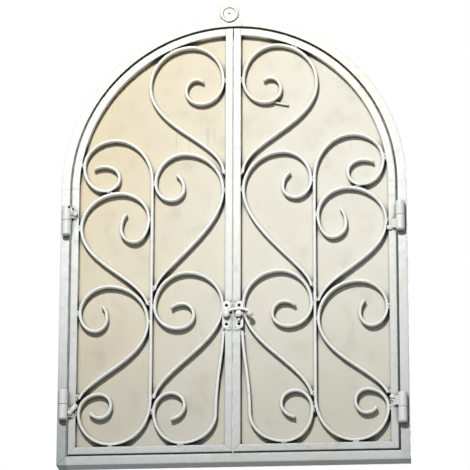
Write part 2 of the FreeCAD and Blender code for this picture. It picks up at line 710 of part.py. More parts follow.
def hook():
    """Arm with an eye on the pivot post, bowed over the keeper to a ball end."""
    seat = KEEPER_RADIUS + HOOK_REST_GAP
    crest = LATCH_HEIGHT + seat + HOOK_WIDTH / 2
    start = (-LATCH_OFFSET, LATCH_HEIGHT)
    end = (LATCH_OFFSET + HOOK_REACH, LATCH_HEIGHT)
    rise = crest + HOOK_CREST - LATCH_HEIGHT
    span = (end[0] - start[0]) / 2
    middle = (start[0] + end[0]) / 2
    path = []
    for step in range(21):
        turn = math.pi * (1 - step / 20)
        path.append((middle + span * math.cos(turn),
                     LATCH_HEIGHT + rise * math.sin(turn) ** 0.8))
    sides = []
    for way in (1, -1):
        edge = []
        for index, (x, z) in enumerate(path):
            before = path[max(index - 1, 0)]
            after = path[min(index + 1, len(path) - 1)]
            run = math.hypot(after[0] - before[0], after[1] - before[1])
            offset = way * HOOK_WIDTH / 2 / run
            edge.append(vector(x - (after[1] - before[1]) * offset, HOOK_BACK,
                               z + (after[0] - before[0]) * offset))
        sides.append(edge)
    curves = []
    for edge in sides:
        curve = Part.BSplineCurve()
        curve.interpolate(edge)
        curves.append(curve.toShape())
    ends = [Part.LineSegment(sides[0][i], sides[1][i]).toShape() for i in (0, -1)]
    wire = Part.Wire(Part.__sortEdges__(curves + ends))
    arm = Part.Face(wire).extrude(vector(0, -HOOK_THICK, 0))
    eye = disc(*start, HOOK_EYE_RADIUS, HOOK_BACK, HOOK_THICK)
    ball = Part.makeSphere(HOOK_BALL_RADIUS, vector(end[0], HOOK_FRONT + HOOK_THICK / 2
                                                    - HOOK_BALL_PROUD, end[1]))
    body = arm.fuse(eye).fuse(ball)
    body = body.cut(disc(*start, POST_RADIUS + HOOK_BORE_CLEARANCE, HOOK_BACK, HOOK_THICK))
    return body.removeSplitter()


def build():
    outer_frame()
    frame_lips()
    hanging_boss()
    leaf(-1, "left")
    leaf(1, "right")
    hinge(-1, "left_upper", LEFT_UPPER_HINGE, True)
    hinge(-1, "left_lower", LEFT_LOWER_HINGE, False)
    hinge(1, "right_upper", RIGHT_UPPER_HINGE, False)
    hinge(1, "right_lower", RIGHT_LOWER_HINGE, True)
    latch()


build()
os.makedirs("parts", exist_ok=True)
for node, shape in NODES.items():
    shape.exportStep("parts/" + node + ".step")
    print(node, len(shape.Solids), round(shape.Volume, 2), shape.isValid())
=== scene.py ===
import math

import bmesh
import bpy
import numpy as np
from mathutils import Matrix, Vector


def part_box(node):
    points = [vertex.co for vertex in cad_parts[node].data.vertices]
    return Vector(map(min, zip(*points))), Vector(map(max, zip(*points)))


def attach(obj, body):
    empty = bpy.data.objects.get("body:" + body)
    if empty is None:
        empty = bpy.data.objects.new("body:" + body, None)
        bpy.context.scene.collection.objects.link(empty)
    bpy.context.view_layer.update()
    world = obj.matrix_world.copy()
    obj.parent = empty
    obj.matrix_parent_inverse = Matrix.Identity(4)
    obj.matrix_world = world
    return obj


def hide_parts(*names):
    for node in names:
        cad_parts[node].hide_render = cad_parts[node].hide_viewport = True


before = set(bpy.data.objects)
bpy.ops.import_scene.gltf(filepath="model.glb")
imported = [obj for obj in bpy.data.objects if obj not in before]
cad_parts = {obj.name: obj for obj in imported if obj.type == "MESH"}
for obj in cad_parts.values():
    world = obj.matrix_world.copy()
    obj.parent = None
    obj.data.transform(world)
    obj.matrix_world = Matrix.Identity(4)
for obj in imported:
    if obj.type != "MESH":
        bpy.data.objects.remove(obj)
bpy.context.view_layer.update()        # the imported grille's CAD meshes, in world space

bl_info = {
    "name": "Arched window security grille",
    "version": (1, 0, 0),
    "blender": (4, 5, 0),
    "location": "3D View > Sidebar > Grille",
    "description": "Painted tubes, scrolls, welds, hinges and latch of an arched window grille",
    "category": "Object",
}

MM = 0.001


# ---- places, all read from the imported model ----

def corners(node):
    """Lowest and highest corner of a CAD node as arrays."""
    low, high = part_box(node)
    return np.array(low), np.array(high)


SILL_LOW, SILL_HIGH = corners("frame_sill")
STILE_LOW, STILE_HIGH = corners("right_hinge_stile")
MEET_LOW, MEET_HIGH = corners("right_meeting_stile")
RAIL_LOW, RAIL_HIGH = corners("right_bottom_rail")
SHEET_LOW, SHEET_HIGH = corners("right_backing_sheet")
PLATE_LOW, PLATE_HIGH = corners("latch_keeper_plate")
RING_LOW, RING_HIGH = corners("hanging_ring")
WASHER_LOW, WASHER_HIGH = corners("hanging_washer")

HALF_WIDTH = SILL_HIGH[0]
FLOOR = SILL_LOW[2]
FACE = SILL_HIGH[2] - FLOOR
FRONT = SILL_LOW[1]
SPRING = corners("frame_right_jamb")[1][2]
SPLICE = corners("frame_arch_right")[0][0]
ARCH_RISE = corners("frame_arch_left")[1][2] - SPRING
STILE_OUT, STILE_IN = STILE_HIGH[0], STILE_LOW[0]
MEET_OUT, MEET_IN = MEET_LOW[0], MEET_HIGH[0]
RAIL_TOP = RAIL_HIGH[2]
LEAF_BACK = STILE_HIGH[1]
LEAF_TUBE = STILE_OUT - STILE_IN
LEAF_RISE = MEET_HIGH[2] - SPRING
INNER_RISE = LEAF_RISE - LEAF_TUBE
LATCH_HEIGHT = (PLATE_LOW[2] + PLATE_HIGH[2]) / 2
LATCH_OFFSET = (PLATE_LOW[0] + PLATE_HIGH[0]) / 2
MIDDLE = (MEET_IN + STILE_IN) / 2
MID_BAR = (FRONT + LEAF_BACK) / 2
BAR_DEPTH = LEAF_BACK - FRONT
QUARTER_STEPS = 14
# Half outline of a blow hole left in a weld: radius against depth.
PIT = [(0.2 * MM, 0.3 * MM), (2.1 * MM, 0.2 * MM), (2.3 * MM, 0.0),
       (2.1 * MM, -0.6 * MM), (0.2 * MM, -0.6 * MM)]
# Rounding where two tubes meet end to end: the dressed weld leaves only a fine line.
END_SOFT = 0.22 * MM
# Hinges: barrel radius, half the foot's width, and the lug's reach and half its height.
BARREL, FOOT_HALF, LUG_REACH, LUG_HALF = 8.0 * MM, 4.5 * MM, 9.0 * MM, 8.0 * MM
# Latch posts: radius and height of the head, its dome, and the radius below the head.
HEAD, HEAD_HIGH, DOME = 5.8 * MM, 3.4 * MM, 1.7 * MM
COLLAR = {"pivot": 4.6 * MM, "keeper": 5.2 * MM}
WAIST = {"pivot": 3.0 * MM, "keeper": 5.2 * MM}
# Screw holes lie this far above and below the middle of a latch plate.
SCREW_RISE = 17 * MM
# Hook: reach past the keeper, bow of the arm, its half-widths, and the eye and ball radii.
HOOK_PAST, HOOK_BOW, HOOK_WIDE, HOOK_DEEP = 20.0 * MM, 9.7 * MM, 3.1 * MM, 2.2 * MM
HOOK_EYE, HOOK_BALL, HOOK_STEPS = 5.4 * MM, 5.2 * MM, 60
HANGING_HOLE = 2.1 * MM


class GrilleSizes(bpy.types.PropertyGroup):
    """Sizes of the painted finish and of the bars."""

    bar_thick: bpy.props.FloatProperty(
        name="Bar thickness", description="Face width of the flat bars",
        default=4.8 * MM, unit="LENGTH")
    weld_gap: bpy.props.FloatProperty(
        name="Weld gap", description="Gap that a weld fills between a bar and a tube",
        default=2.0 * MM, unit="LENGTH")
    bar_gap: bpy.props.FloatProperty(
        name="Bar gap", description="Gap that a weld fills between two bars",
        default=1.0 * MM, unit="LENGTH")
    bar_corner: bpy.props.FloatProperty(
        name="Bar corner", description="Radius that the paint gives a bar's corners",
        default=1.0 * MM, unit="LENGTH")
    tube_corner: bpy.props.FloatProperty(
        name="Tube corner", description="Corner radius of the leaf tubes",
        default=0.9 * MM, unit="LENGTH")
    frame_corner: bpy.props.FloatProperty(
        name="Frame corner", description="Corner radius of the frame tubes",
        default=1.0 * MM, unit="LENGTH")
    unevenness: bpy.props.FloatProperty(
        name="Unevenness", description="How far brushed paint and hand bending wander",
        default=0.16 * MM, unit="LENGTH")
    weld_size: bpy.props.FloatProperty(
        name="Weld size", description="Half length of a weld lump along its seam",
        default=6.2 * MM, unit="LENGTH")
    sheet_wave: bpy.props.FloatProperty(
        name="Sheet wave", description="How far the thin sheet bows towards the wall",
        default=0.9 * MM, unit="LENGTH")


class GrilleColours(bpy.types.PropertyGroup):
    """Colours of the finishes, as sRGB."""

    enamel: bpy.props.StringProperty(
        name="Enamel", description="Off-white enamel, sRGB hex", default="F1F3EF")
    enamel_warm: bpy.props.StringProperty(
        name="Aged enamel", description="Yellowed enamel, sRGB hex", default="ECE7D5")
    # Used for random dust, and for painted shade greying the foot of the sheets.
    dust_and_shade: bpy.props.StringProperty(
        name="Grime", description="Dust held in crevices, sRGB hex", default="8F897A")
    rust: bpy.props.StringProperty(
        name="Rust", description="Rust that bleeds through, sRGB hex", default="6E4A30")
    # Painted shade: grey that darkens the foot of the frame and the lower tubes.
    splash: bpy.props.StringProperty(
        name="Splash", description="Grey film at the foot of the frame", default="9BA4A8")
    # Painted shade: the near-black that darkens gaps and corners.
    gap_shade: bpy.props.StringProperty(
        name="Soot", description="Soot packed into gaps and corners", default="2E2A22")
    cream: bpy.props.StringProperty(
        name="Cream", description="Matt cream of the sheets, sRGB hex", default="EBE8DC")
    cream_warm: bpy.props.StringProperty(
        name="Warm cream", description="Yellower patches of the sheets", default="E5D8B9")
    steel: bpy.props.StringProperty(
        name="Steel", description="Turned mild steel, sRGB hex", default="8C8A86")


def sizes():
    return bpy.context.scene.grille_sizes


def colours():
    return bpy.context.scene.grille_colours


# ---- surfaces ----

def uneven(points, reach, seed, waves=14):
    """Smooth wander between about -1 and 1: a sum of sine waves in random directions.

    value = sum(sin(k . p + phase)) / sqrt(waves), with wave lengths round reach.
    """
    random = np.random.default_rng(seed)
    turn = random.normal(size=(waves, 3))
    turn *= 2 * math.pi / reach / np.linalg.norm(turn, axis=1)[:, None]
    turn *= random.uniform(0.6, 1.7, (waves, 1))
    phase = random.uniform(0, 2 * math.pi, waves)
    return np.sin(points @ turn.T + phase).sum(-1) / math.sqrt(waves)


def lattice(rows, around=True, along=False, ends="fan", wear=0.0):
    """A surface over a grid of points: row i, column j is joined to i+1 and j+1.

    Closed ends are a fan to the middle of the row, or a zip between its two halves.
    """
    count, across = rows.shape[:2]
    index = np.arange(count * across).reshape(count, across)
    upper = np.roll(index, -1, 0) if along else index[1:]
    lower = index if along else index[:-1]
    if around:
        loop = (lower, np.roll(lower, -1, 1), np.roll(upper, -1, 1), upper)
    else:
        loop = (lower[:, :-1], lower[:, 1:], upper[:, 1:], upper[:, :-1])
    quads = np.stack(loop, -1).reshape(-1, 4)
    points = rows.reshape(-1, 3)
    marks = np.broadcast_to(wear, (count, across)).ravel()
    tris = np.zeros((0, 3), int)
    if ends == "fan" and around and not along:
        first, last = index[0], index[-1]
        hub = len(points)
        tris = np.concatenate([
            np.stack([np.roll(first, -1), first, np.full(across, hub)], 1),
            np.stack([last, np.roll(last, -1), np.full(across, hub + 1)], 1)])
        points = np.concatenate([points, [rows[0].mean(0)], [rows[-1].mean(0)]])
        marks = np.concatenate([marks, [0.0, 0.0]])
    if ends == "zip":
        half = np.arange(across // 2 - 1)
        other = across - 1 - half
        first, last = index[0], index[-1]
        quads = np.concatenate([
            quads,
            np.stack([first[half + 1], first[half], first[other], first[other - 1]], 1),
            np.stack([last[half], last[half + 1], last[other - 1], last[other]], 1)])
    return outwards(points, quads, tris) + (marks,)


def outwards(points, quads, tris):
    """Turns a closed surface's faces outwards: its signed volume is made positive."""
    faces = np.concatenate([quads[:, [0, 1, 2]], quads[:, [0, 2, 3]], tris])
    a, b, c = (points[faces[:, k]] - points.mean(0) for k in range(3))
    if (a * np.cross(b, c)).sum() < 0:
        quads, tris = quads[:, ::-1], tris[:, ::-1]
    return points, quads, tris


def mesh_object(name, patches):
    """One mesh object from several closed surfaces, smooth, with a wear attribute."""
    shift = np.cumsum([0] + [len(patch[0]) for patch in patches])
    points = np.concatenate([patch[0] for patch in patches])
    quads = np.concatenate([patch[1] + shift[k] for k, patch in enumerate(patches)])
    tris = np.concatenate([patch[2] + shift[k] for k, patch in enumerate(patches)])
    marks = np.concatenate([patch[3] for patch in patches])
    mesh = bpy.data.meshes.new(name)
    mesh.vertices.add(len(points))
    mesh.vertices.foreach_set("co", points.astype(np.float32).ravel())
    mesh.loops.add(quads.size + tris.size)
    mesh.loops.foreach_set("vertex_index", np.concatenate([quads.ravel(), tris.ravel()]))
    starts = np.concatenate([np.arange(len(quads)) * 4, quads.size + np.arange(len(tris)) * 3])
    mesh.polygons.add(len(starts))
    mesh.polygons.foreach_set("loop_start", starts)
    mesh.update(calc_edges=True)
    mesh.validate()
    mesh.polygons.foreach_set("use_smooth", np.ones(len(mesh.polygons), bool))
    wear = mesh.attributes.new("wear", "FLOAT", "POINT")
    wear.data.foreach_set("value", marks.astype(np.float32))
    made = bpy.data.objects.new(name, mesh)
    bpy.context.scene.collection.objects.link(made)
    return made


def finish_piece(made, body, material, stands_for=()):
    """Gives a piece its finish and its body, and hides the CAD nodes it stands for."""
    made.data.materials.clear()
    made.data.materials.append(material)
    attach(made, body)
    if stands_for:
        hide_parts(*stands_for)
    return made


def outline(wide, deep, corner, arc=4, between=3):
    """Rounded rectangle, as (across, depth) points, with 1 on the middle of its corners.

    Each corner is a quarter circle, and each flat is divided evenly.
    """
    turn = np.linspace(0, math.pi / 2, arc + 1)
    turns = np.concatenate([turn + k * math.pi / 2 for k in range(4)])
    signs = np.repeat([[1, 1], [-1, 1], [-1, -1], [1, -1]], arc + 1, 0)
    centre = signs * [wide / 2 - corner, deep / 2 - corner]
    points = centre + corner * np.stack([np.cos(turns), np.sin(turns)], 1)
    marks = np.tile(np.sin(2 * turn), 4)
    closed = np.concatenate([points, points[:1]])
    walk = np.concatenate([[0], np.cumsum(np.linalg.norm(np.diff(closed, axis=0), axis=1))])
    share = np.arange(1, between + 1) / (between + 1)
    flats = np.arange(arc, 4 * (arc + 1), arc + 1)
    extra = (walk[flats][:, None] + (walk[flats + 1] - walk[flats])[:, None] * share).ravel()
    place = np.sort(np.concatenate([walk[:-1], extra]))
    shape = np.stack([np.interp(place, walk, closed[:, k]) for k in range(2)], 1)
    return shape, np.interp(place, walk, np.append(marks, marks[0]))


def softened_ends(length, soft, pitch):
    """Stations along a length, and how far each is drawn in, so both ends are rounded.

    Near an end at distance soft(1 - cos t) the section is drawn in by soft(1 - sin t).
    """
    turn = np.linspace(0, math.pi / 2, 4)
    near = soft * (1 - np.cos(turn))
    inset = soft * (1 - np.sin(turn))
    count = max(int((length - 2 * soft) / pitch), 1)
    middle = np.linspace(soft, length - soft, count + 1)[1:-1]
    place = np.concatenate([near, middle, length - near[::-1]])
    return place, np.concatenate([inset, np.zeros(len(middle)), inset[::-1]])


def drawn_in(shape, inset):
    """The section at each station: every point moves towards the middle by the inset."""
    half = np.abs(shape).max(0)
    return shape[None] * (1 - inset[:, None, None] / half)


def roughened(rows, seed, depth, reach=26 * MM):
    """Moves points away from the middle of their row by the paint's wander."""
    away = rows - rows.mean(1, keepdims=True)
    away /= np.linalg.norm(away, axis=2, keepdims=True) + 1e-9
    slow = uneven(rows, reach, seed)
    quick = uneven(rows, reach / 2.4, seed + 1)
    return rows + away * (depth * (0.7 * slow + 0.35 * quick))[..., None]


def straight_tube(start, end, wide, deep, middle_y, corner, mitres, seed):
    """Tube between two (x, z) points; a mitre slides its ends by slope times across."""
    start, end = np.array(start), np.array(end)
    length = np.linalg.norm(end - start)
    along = (end - start) / length
    side = np.array([-along[1], along[0]])
    shape, wear = outline(wide, deep, corner)
    place, inset = softened_ends(length, END_SOFT, 4 * MM)
    section = drawn_in(shape, inset)
    share = (place / length)[:, None]
    slide = (mitres[0] * (1 - share) + mitres[1] * share) * section[..., 0]
    reach = place[:, None] + slide
    flat = start + along * reach[..., None] + side * section[..., :1]
    rows = np.stack([flat[..., 0], middle_y + section[..., 1], flat[..., 1]], -1)
    return lattice(roughened(rows, seed, sizes().unevenness), wear=wear)


def arch_tube(across, rise, face, deep, middle_y, corner, cut_x, way, seed):
    """Bent tube: (A cos t, B sin t) with both half-axes less the depth below its face."""
    shape, wear = outline(face, deep, corner)
    length = 0.25 * math.pi * (across + rise)
    place, inset = softened_ends(length, END_SOFT, 3.5 * MM)
    section = drawn_in(shape, inset)
    depth = face / 2 - section[..., 0]
    last = np.arccos(np.clip(cut_x * way / (across - depth), -1, 1))
    turn = (place / length)[:, None] * last
    x = way * (across - depth) * np.cos(turn)
    z = SPRING + (rise - depth) * np.sin(turn)
    rows = np.stack([x, middle_y + section[..., 1], z], -1)
    return lattice(roughened(rows, seed, sizes().unevenness), wear=wear)


def bar_sweep(path, thick, deep, middle_y, corner, seed):
    """Flat bar on edge: a rounded section carried along a path of (x, z) points."""
    steps = np.linalg.norm(np.diff(path, axis=0), axis=1)
    walk = np.concatenate([[0], np.cumsum(steps)])
    place, inset = softened_ends(walk[-1], corner, 2.4 * MM)
    fine = np.stack([np.interp(place, walk, path[:, k]) for k in range(2)], 1)
    tangent = np.stack([np.interp(place, walk, np.gradient(path[:, k], walk))
                        for k in range(2)], 1)
    tangent /= np.linalg.norm(tangent, axis=1)[:, None]
    side = np.stack([-tangent[:, 1], tangent[:, 0]], 1)
    shape, wear = outline(thick, deep, corner, arc=3, between=2)
    section = drawn_in(shape, inset)
    thin = 0.86 + 0.14 * np.clip(place / (12 * MM), 0, 1)
    section = section * np.stack([thin, 0.6 + 0.4 * thin], 1)[:, None]
    flat = fine[:, None] + side[:, None] * section[..., :1]
    rows = np.stack([flat[..., 0], middle_y + section[..., 1], flat[..., 1]], -1)
    return lattice(roughened(rows, seed, sizes().unevenness), wear=wear)


def turned(shape, centre, axis, seed, depth, sides=40, closed=False):
    """Turned piece: (radius, height) points carried round an axis along Z or -Y."""
    shape = np.array(shape)
    turn = np.linspace(0, 2 * math.pi, sides, endpoint=False)
    ring = np.stack([np.cos(turn), np.sin(turn)], 1)
    flat = shape[:, 0][:, None, None] * ring
    rise = np.broadcast_to(shape[:, 1][:, None], flat.shape[:2])
    if axis == "z":
        rows = np.stack([flat[..., 0], flat[..., 1], rise], -1)
    else:
        rows = np.stack([flat[..., 0], -rise, flat[..., 1]], -1)
    rows = rows + np.array(centre)
    wander = depth * uneven(rows, 9 * MM, seed)[..., None]
    rows = rows + wander * (rows - np.array(centre)) / np.abs(shape).max()
    return lattice(rows, along=closed)


def rounded_post(radius, low, high, soft_low, soft_high):
    """Half outline of a post: flat ends with quarter circles at their rims."""
    turn = np.linspace(0, math.pi / 2, 6)
    foot = np.stack([radius - soft_low * (1 - np.sin(turn)),
                     low + soft_low * (1 - np.cos(turn))], 1)
    head = np.stack([radius - soft_high * (1 - np.cos(turn)),
                     high - soft_high * (1 - np.sin(turn))], 1)
    middle = np.linspace(low + soft_low, high - soft_high, 8)[1:-1]
    body = np.stack([np.full(6, radius), middle], 1)
    return np.concatenate([foot, body, head])


def lump(centre, radii, seed, lean=0.0, rough=0.16, rings=11, sides=18):
    """Weld lump: an ellipsoid turned by lean about Y, swollen by two scales of wander."""
    lift = np.linspace(-0.47, 0.47, rings) * math.pi
    turn = np.linspace(0, 2 * math.pi, sides, endpoint=False)
    unit = np.stack([
        np.cos(lift)[:, None] * np.cos(turn),
        np.repeat(np.sin(lift)[:, None], sides, 1),
        np.cos(lift)[:, None] * np.sin(turn)], -1)
    swell = 1 + rough * uneven(unit, 2.6, seed) + rough / 2 * uneven(unit, 1.1, seed + 1)
    body = unit * swell[..., None] * np.array(radii)
    cos, sin = math.cos(lean), math.sin(lean)
    spun = np.stack([cos * body[..., 0] + sin * body[..., 2], body[..., 1],
                     -sin * body[..., 0] + cos * body[..., 2]], -1)
    return lattice(spun + np.array(centre), wear=0.25)


def rod(points, radii, seed, sides=16, rough=0.08):
    """Round rod: an ellipse carried along a path, with half-widths in plane and in depth."""
    points = np.array(points, float)
    radii = np.array(radii, float)
    tangent = np.gradient(points, axis=0)
    tangent /= np.linalg.norm(tangent, axis=1)[:, None]
    side = np.cross(tangent, [0, 1, 0])
    side /= np.linalg.norm(side, axis=1)[:, None]
    deep = np.cross(tangent, side)
    turn = np.linspace(0, 2 * math.pi, sides, endpoint=False)
    rows = (points[:, None] + radii[:, :1, None] * side[:, None] * np.cos(turn)[None, :, None]
            + radii[:, 1:, None] * deep[:, None] * np.sin(turn)[None, :, None])
    away = rows - points[:, None]
    rows = rows + away * (rough * uneven(rows, 6 * MM, seed))[..., None]
    return lattice(rows, wear=0.2)


def bead(start, end, radius, seed, pitch=2.6 * MM):
    """Weld bead: a rod whose radius swells once for each drop of weld along it."""
    start, end = np.array(start), np.array(end)
    length = np.linalg.norm(end - start)
    share = np.linspace(0, 1, max(int(length / 0.6 / MM), 12))
    blunt = np.sqrt(np.clip(1 - np.abs(2 * share - 1) ** 8, 0.03, 1))
    ripple = 1 + 0.16 * np.sin(2 * math.pi * share * length / pitch)
    size = radius * blunt * ripple
    path = start + (end - start) * share[:, None]
    return rod(path, np.stack([size, size], 1), seed, sides=14, rough=0.14)


def block_outline(points, soft, low, high, seed, depth=0.1 * MM):
    """Prism over a convex outline of (x, y) points, with its corners and ends rounded."""
    points = np.array(points, float)
    before = np.roll(points, 1, 0) - points
    after = np.roll(points, -1, 0) - points
    reach = np.minimum(soft, 0.4 * np.minimum(np.linalg.norm(before, axis=1),
                                              np.linalg.norm(after, axis=1)))
    a = points + before / np.linalg.norm(before, axis=1)[:, None] * reach[:, None]
    b = points + after / np.linalg.norm(after, axis=1)[:, None] * reach[:, None]
    t = np.linspace(0, 1, 6)[None, :, None]
    ring = ((1 - t) ** 2 * a[:, None] + 2 * t * (1 - t) * points[:, None] + t ** 2 * b[:, None])
    ring = ring.reshape(-1, 2)
    middle = ring.mean(0)
    place, inset = softened_ends(high - low, soft, 2 * MM)
    half = np.abs(ring - middle).max()
    section = middle + (ring - middle)[None] * (1 - inset[:, None, None] / half)
    z = np.broadcast_to((low + place)[:, None], section.shape[:2])
    rows = np.concatenate([section, z[..., None]], -1)
    return lattice(roughened(rows, seed, depth, 7 * MM))


def softened_copy(name, node, width):
    """A merged copy of a flat CAD plate whose edges are bevelled by the paint's radius."""
    made = bpy.data.objects.new(name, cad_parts[node].data.copy())
    bpy.context.scene.collection.objects.link(made)
    work = bmesh.new()
    work.from_mesh(made.data)
    bmesh.ops.remove_doubles(work, verts=work.verts, dist=1e-6)
    bmesh.ops.dissolve_limit(work, angle_limit=math.radians(0.5), verts=work.verts,
                             edges=work.edges)
    work.to_mesh(made.data)
    work.free()
    flats = made.data.polygons
    flats.foreach_set("use_smooth", np.ones(len(flats), bool))
    bevel = made.modifiers.new("paint edge", "BEVEL")
    bevel.width = width
    bevel.segments = 3
    bevel.limit_method = "ANGLE"
    bevel.angle_limit = math.radians(35)
    bevel.harden_normals = True
    return made


# ---- scroll paths, as the part draws them ----

def height(share):
    """0 to 1 climbs from the bottom rail to the spring, 1 to 2 from there to the crown."""
    if share <= 1:
        return RAIL_TOP + share * (SPRING - RAIL_TOP)
    return SPRING + (share - 1) * INNER_RISE


def inner(share):
    return MEET_IN + share * (MIDDLE - MEET_IN)


def outer(share):
    return MIDDLE + share * (STILE_IN - MIDDLE)


def arch_side(share):
    return STILE_IN * math.sqrt(1 - (share - 1) ** 2)


def quarter(start, end, upright, skip=0.0, stop=1.0):
    """Quarter of an ellipse; upright says that it leaves its start vertically."""
    turn = np.linspace(skip, stop, QUARTER_STEPS + 1) * math.pi / 2
    across, rise = end[0] - start[0], end[1] - start[1]
    if upright:
        return np.stack([end[0] - across * np.cos(turn), start[1] + rise * np.sin(turn)], 1)
    return np.stack([start[0] + across * np.sin(turn), end[1] - rise * np.cos(turn)], 1)


def curl(turns, upright, skip):
    """Quarter ellipses through the widest points of a curl, from its free end."""
    runs = []
    for index in range(len(turns) - 1):
        opening = skip if index == 0 else 0.0
        runs.append(quarter(turns[index], turns[index + 1], upright, opening)[:-1])
        upright = not upright
    return np.concatenate(runs + [[turns[-1]]])


def tail(start, end, leave, arrive, lean=0.0):
    """Cubic Bezier that leaves the last loop upright and lands beside its stile."""
    way = 1 if end[1] > start[1] else -1
    second = (start[0], start[1] + way * leave * MM)
    third = (end[0] + lean * MM, end[1] - way * arrive * MM)
    t = np.linspace(0, 1, 2 * QUARTER_STEPS + 1)[1:, None]
    a, b, c, d = (np.array(point) for point in (start, second, third, end))
    return (1 - t) ** 3 * a + 3 * t * (1 - t) ** 2 * b + 3 * t * t * (1 - t) * c + t ** 3 * d


def arch_reach(steps):
    """Points on the underside of the leaf's arch rail."""
    turn = np.linspace(0, math.pi / 2, steps)
    return np.stack([STILE_IN * np.cos(turn), SPRING + INNER_RISE * np.sin(turn)], 1)


def scroll_paths():
    """Middle lines of the seven bars of the right leaf, as arrays of (x, z)."""
    half = sizes().bar_thick / 2
    gap = sizes().weld_gap
    by_meeting = MEET_IN + gap + half
    by_hinge = STILE_IN - gap - half
    inside = MIDDLE - 2 * half - sizes().bar_gap
    outside = MIDDLE + 2 * half + sizes().bar_gap
    on_rail = RAIL_TOP + gap + half

    low, high = height(1.75), SPRING + INNER_RISE
    for _ in range(18):
        top = (low + high) / 2
        loop = [(by_meeting, height(1.70)), (inner(0.48), top), (inner(1.04), height(1.67))]
        apart = curl(loop, True, 0.0)[:, None] - arch_reach(181)[None]
        if np.linalg.norm(apart, axis=2).min() - half > gap:
            low = top
        else:
            high = top
    start = [(inner(0.404), height(1.712)), (inner(0.547), height(1.634)),
             (inner(0.335), height(1.549))]
    landing = (by_meeting - gap / 2, height(1.082))
    crown = np.concatenate([curl(start + loop, False, -0.45), tail(loop[-1], landing, 80, 62)])

    turns = [(inner(0.76), height(1.095)), (inner(0.57), height(0.994)),
             (inner(0.74), height(0.951)), (inside, height(1.03)),
             (inner(0.57), height(1.22)), (by_meeting, height(0.985))]
    shoulder = np.concatenate([curl(turns, False, 0.3),
                               tail(turns[-1], (inside, height(0.599)), 75, 40, -4)])

    turns = [(inner(0.75), height(0.515)), (inner(0.58), height(0.545)),
             (inner(0.425), height(0.498)), (inner(0.643), height(0.449)),
             (inside, height(0.533)), (inner(0.52), height(0.665)),
             (by_meeting, height(0.533))]
    waist = np.concatenate([curl(turns, True, 0.3),
                            tail(turns[-1], (inside, height(0.181)), 70, 56, -10)])

    turns = [(inner(0.76), height(0.101)), (inner(0.543), height(0.154)),
             (inner(0.728), height(0.202)), (inside, height(0.129)),
             (inner(0.586), on_rail), (inner(0.123), height(0.121))]
    landing = (by_meeting - gap / 2, height(0.43))
    foot = np.concatenate([curl(turns, False, 0.1), tail(turns[-1], landing, 60, 40)])

    upper = [(outer(0.82), height(1.12)), (outer(0.66), height(1.152)),
             (outer(0.455), height(1.074)), (outer(0.64), height(0.993)),
             (arch_side(1.165) - gap - half, height(1.149)),
             (outer(0.52), height(1.322)), (MIDDLE, height(1.04))]
    lower = [(MIDDLE, height(0.172)), (outer(0.53), on_rail), (by_hinge, height(0.129)),
             (outer(0.693), height(0.202)), (outer(0.53), height(0.157)),
             (outer(0.68), height(0.112)), (outer(0.84), height(0.16))]
    run = np.linspace(upper[-1][1], lower[0][1], 40)[1:-1]
    column = np.concatenate([curl(upper, True, 0.3),
                             np.stack([np.full(len(run), MIDDLE), run], 1),
                             curl(lower[:-1], True, 0.0),
                             quarter(lower[-2], lower[-1], False, 0.0, 0.6)[1:]])

    turns = [(outer(0.27), height(0.912)), (outer(0.423), height(0.842)),
             (outer(0.241), height(0.79)), (outside, height(0.878)),
             (outer(0.444), height(0.983)), (by_hinge, height(0.85))]
    hip = np.concatenate([curl(turns, False, 0.35),
                          tail(turns[-1], (outside, height(0.541)), 68, 55, 16)])

    turns = [(outer(0.73), height(0.548)), (outer(0.60), height(0.494)),
             (outer(0.76), height(0.445)), (by_hinge, height(0.515)),
             (outer(0.582), height(0.618)), (outside, height(0.475))]
    knee = np.concatenate([curl(turns, False, 0.3),
                           tail(turns[-1], (by_hinge, height(0.183)), 68, 44, -19)])
    return {"crown_scroll": crown, "shoulder_scroll": shoulder, "waist_scroll": waist,
            "foot_scroll": foot, "column_bar": column, "hip_scroll": hip,
            "knee_scroll": knee}


def weld_seams(paths):
    """Middle of each weld, and whether its seam runs up, along the rail, or at a lean."""
    gap = sizes().weld_gap
    by_meeting = MEET_IN + gap / 2
    by_hinge = STILE_IN - gap / 2
    inside = MIDDLE - sizes().bar_thick / 2 - sizes().bar_gap / 2
    outside = MIDDLE + sizes().bar_thick / 2 + sizes().bar_gap / 2
    upright = [(by_meeting, share) for share in (1.70, 1.094, 0.985, 0.533, 0.424)]
    upright += [(inside, share) for share in (1.03, 0.606, 0.533, 0.188, 0.129)]
    upright += [(outside, share) for share in (0.878, 0.548, 0.475)]
    upright += [(by_hinge, share) for share in (0.85, 0.515, 0.19, 0.129)]
    seams = [(x, height(share), 0.0) for x, share in upright]
    seams += [(arch_side(1.165) - gap / 2, height(1.165), -0.15)]
    seams += [(inner(0.586), RAIL_TOP + gap / 2, math.pi / 2),
              (outer(0.53), RAIL_TOP + gap / 2, math.pi / 2),
              (outer(0.58), height(0.9875), math.pi / 2)]
    reach = arch_reach(361)
    crown = paths["crown_scroll"]
    apart = np.linalg.norm(crown[:, None] - reach[None], axis=2)
    near = np.unravel_index(apart.argmin(), apart.shape)
    middle = (crown[near[0]] + reach[near[1]]) / 2
    lean = math.atan2(reach[near[1]][0] / STILE_IN ** 2,
                      (reach[near[1]][1] - SPRING) / INNER_RISE ** 2)
    return seams + [(middle[0], middle[1], lean - math.pi / 2)]


# ---- finishes ----

def linear(code):
    """sRGB hex to a linear colour with alpha."""
    parts = np.array([int(code[k:k + 2], 16) for k in (0, 2, 4)]) / 255
    bright = np.where(parts <= 0.04045, parts / 12.92, ((parts + 0.055) / 1.055) ** 2.4)
    return (*bright.tolist(), 1.0)


SMOOTH = {"interpolation_type": "SMOOTHSTEP"}


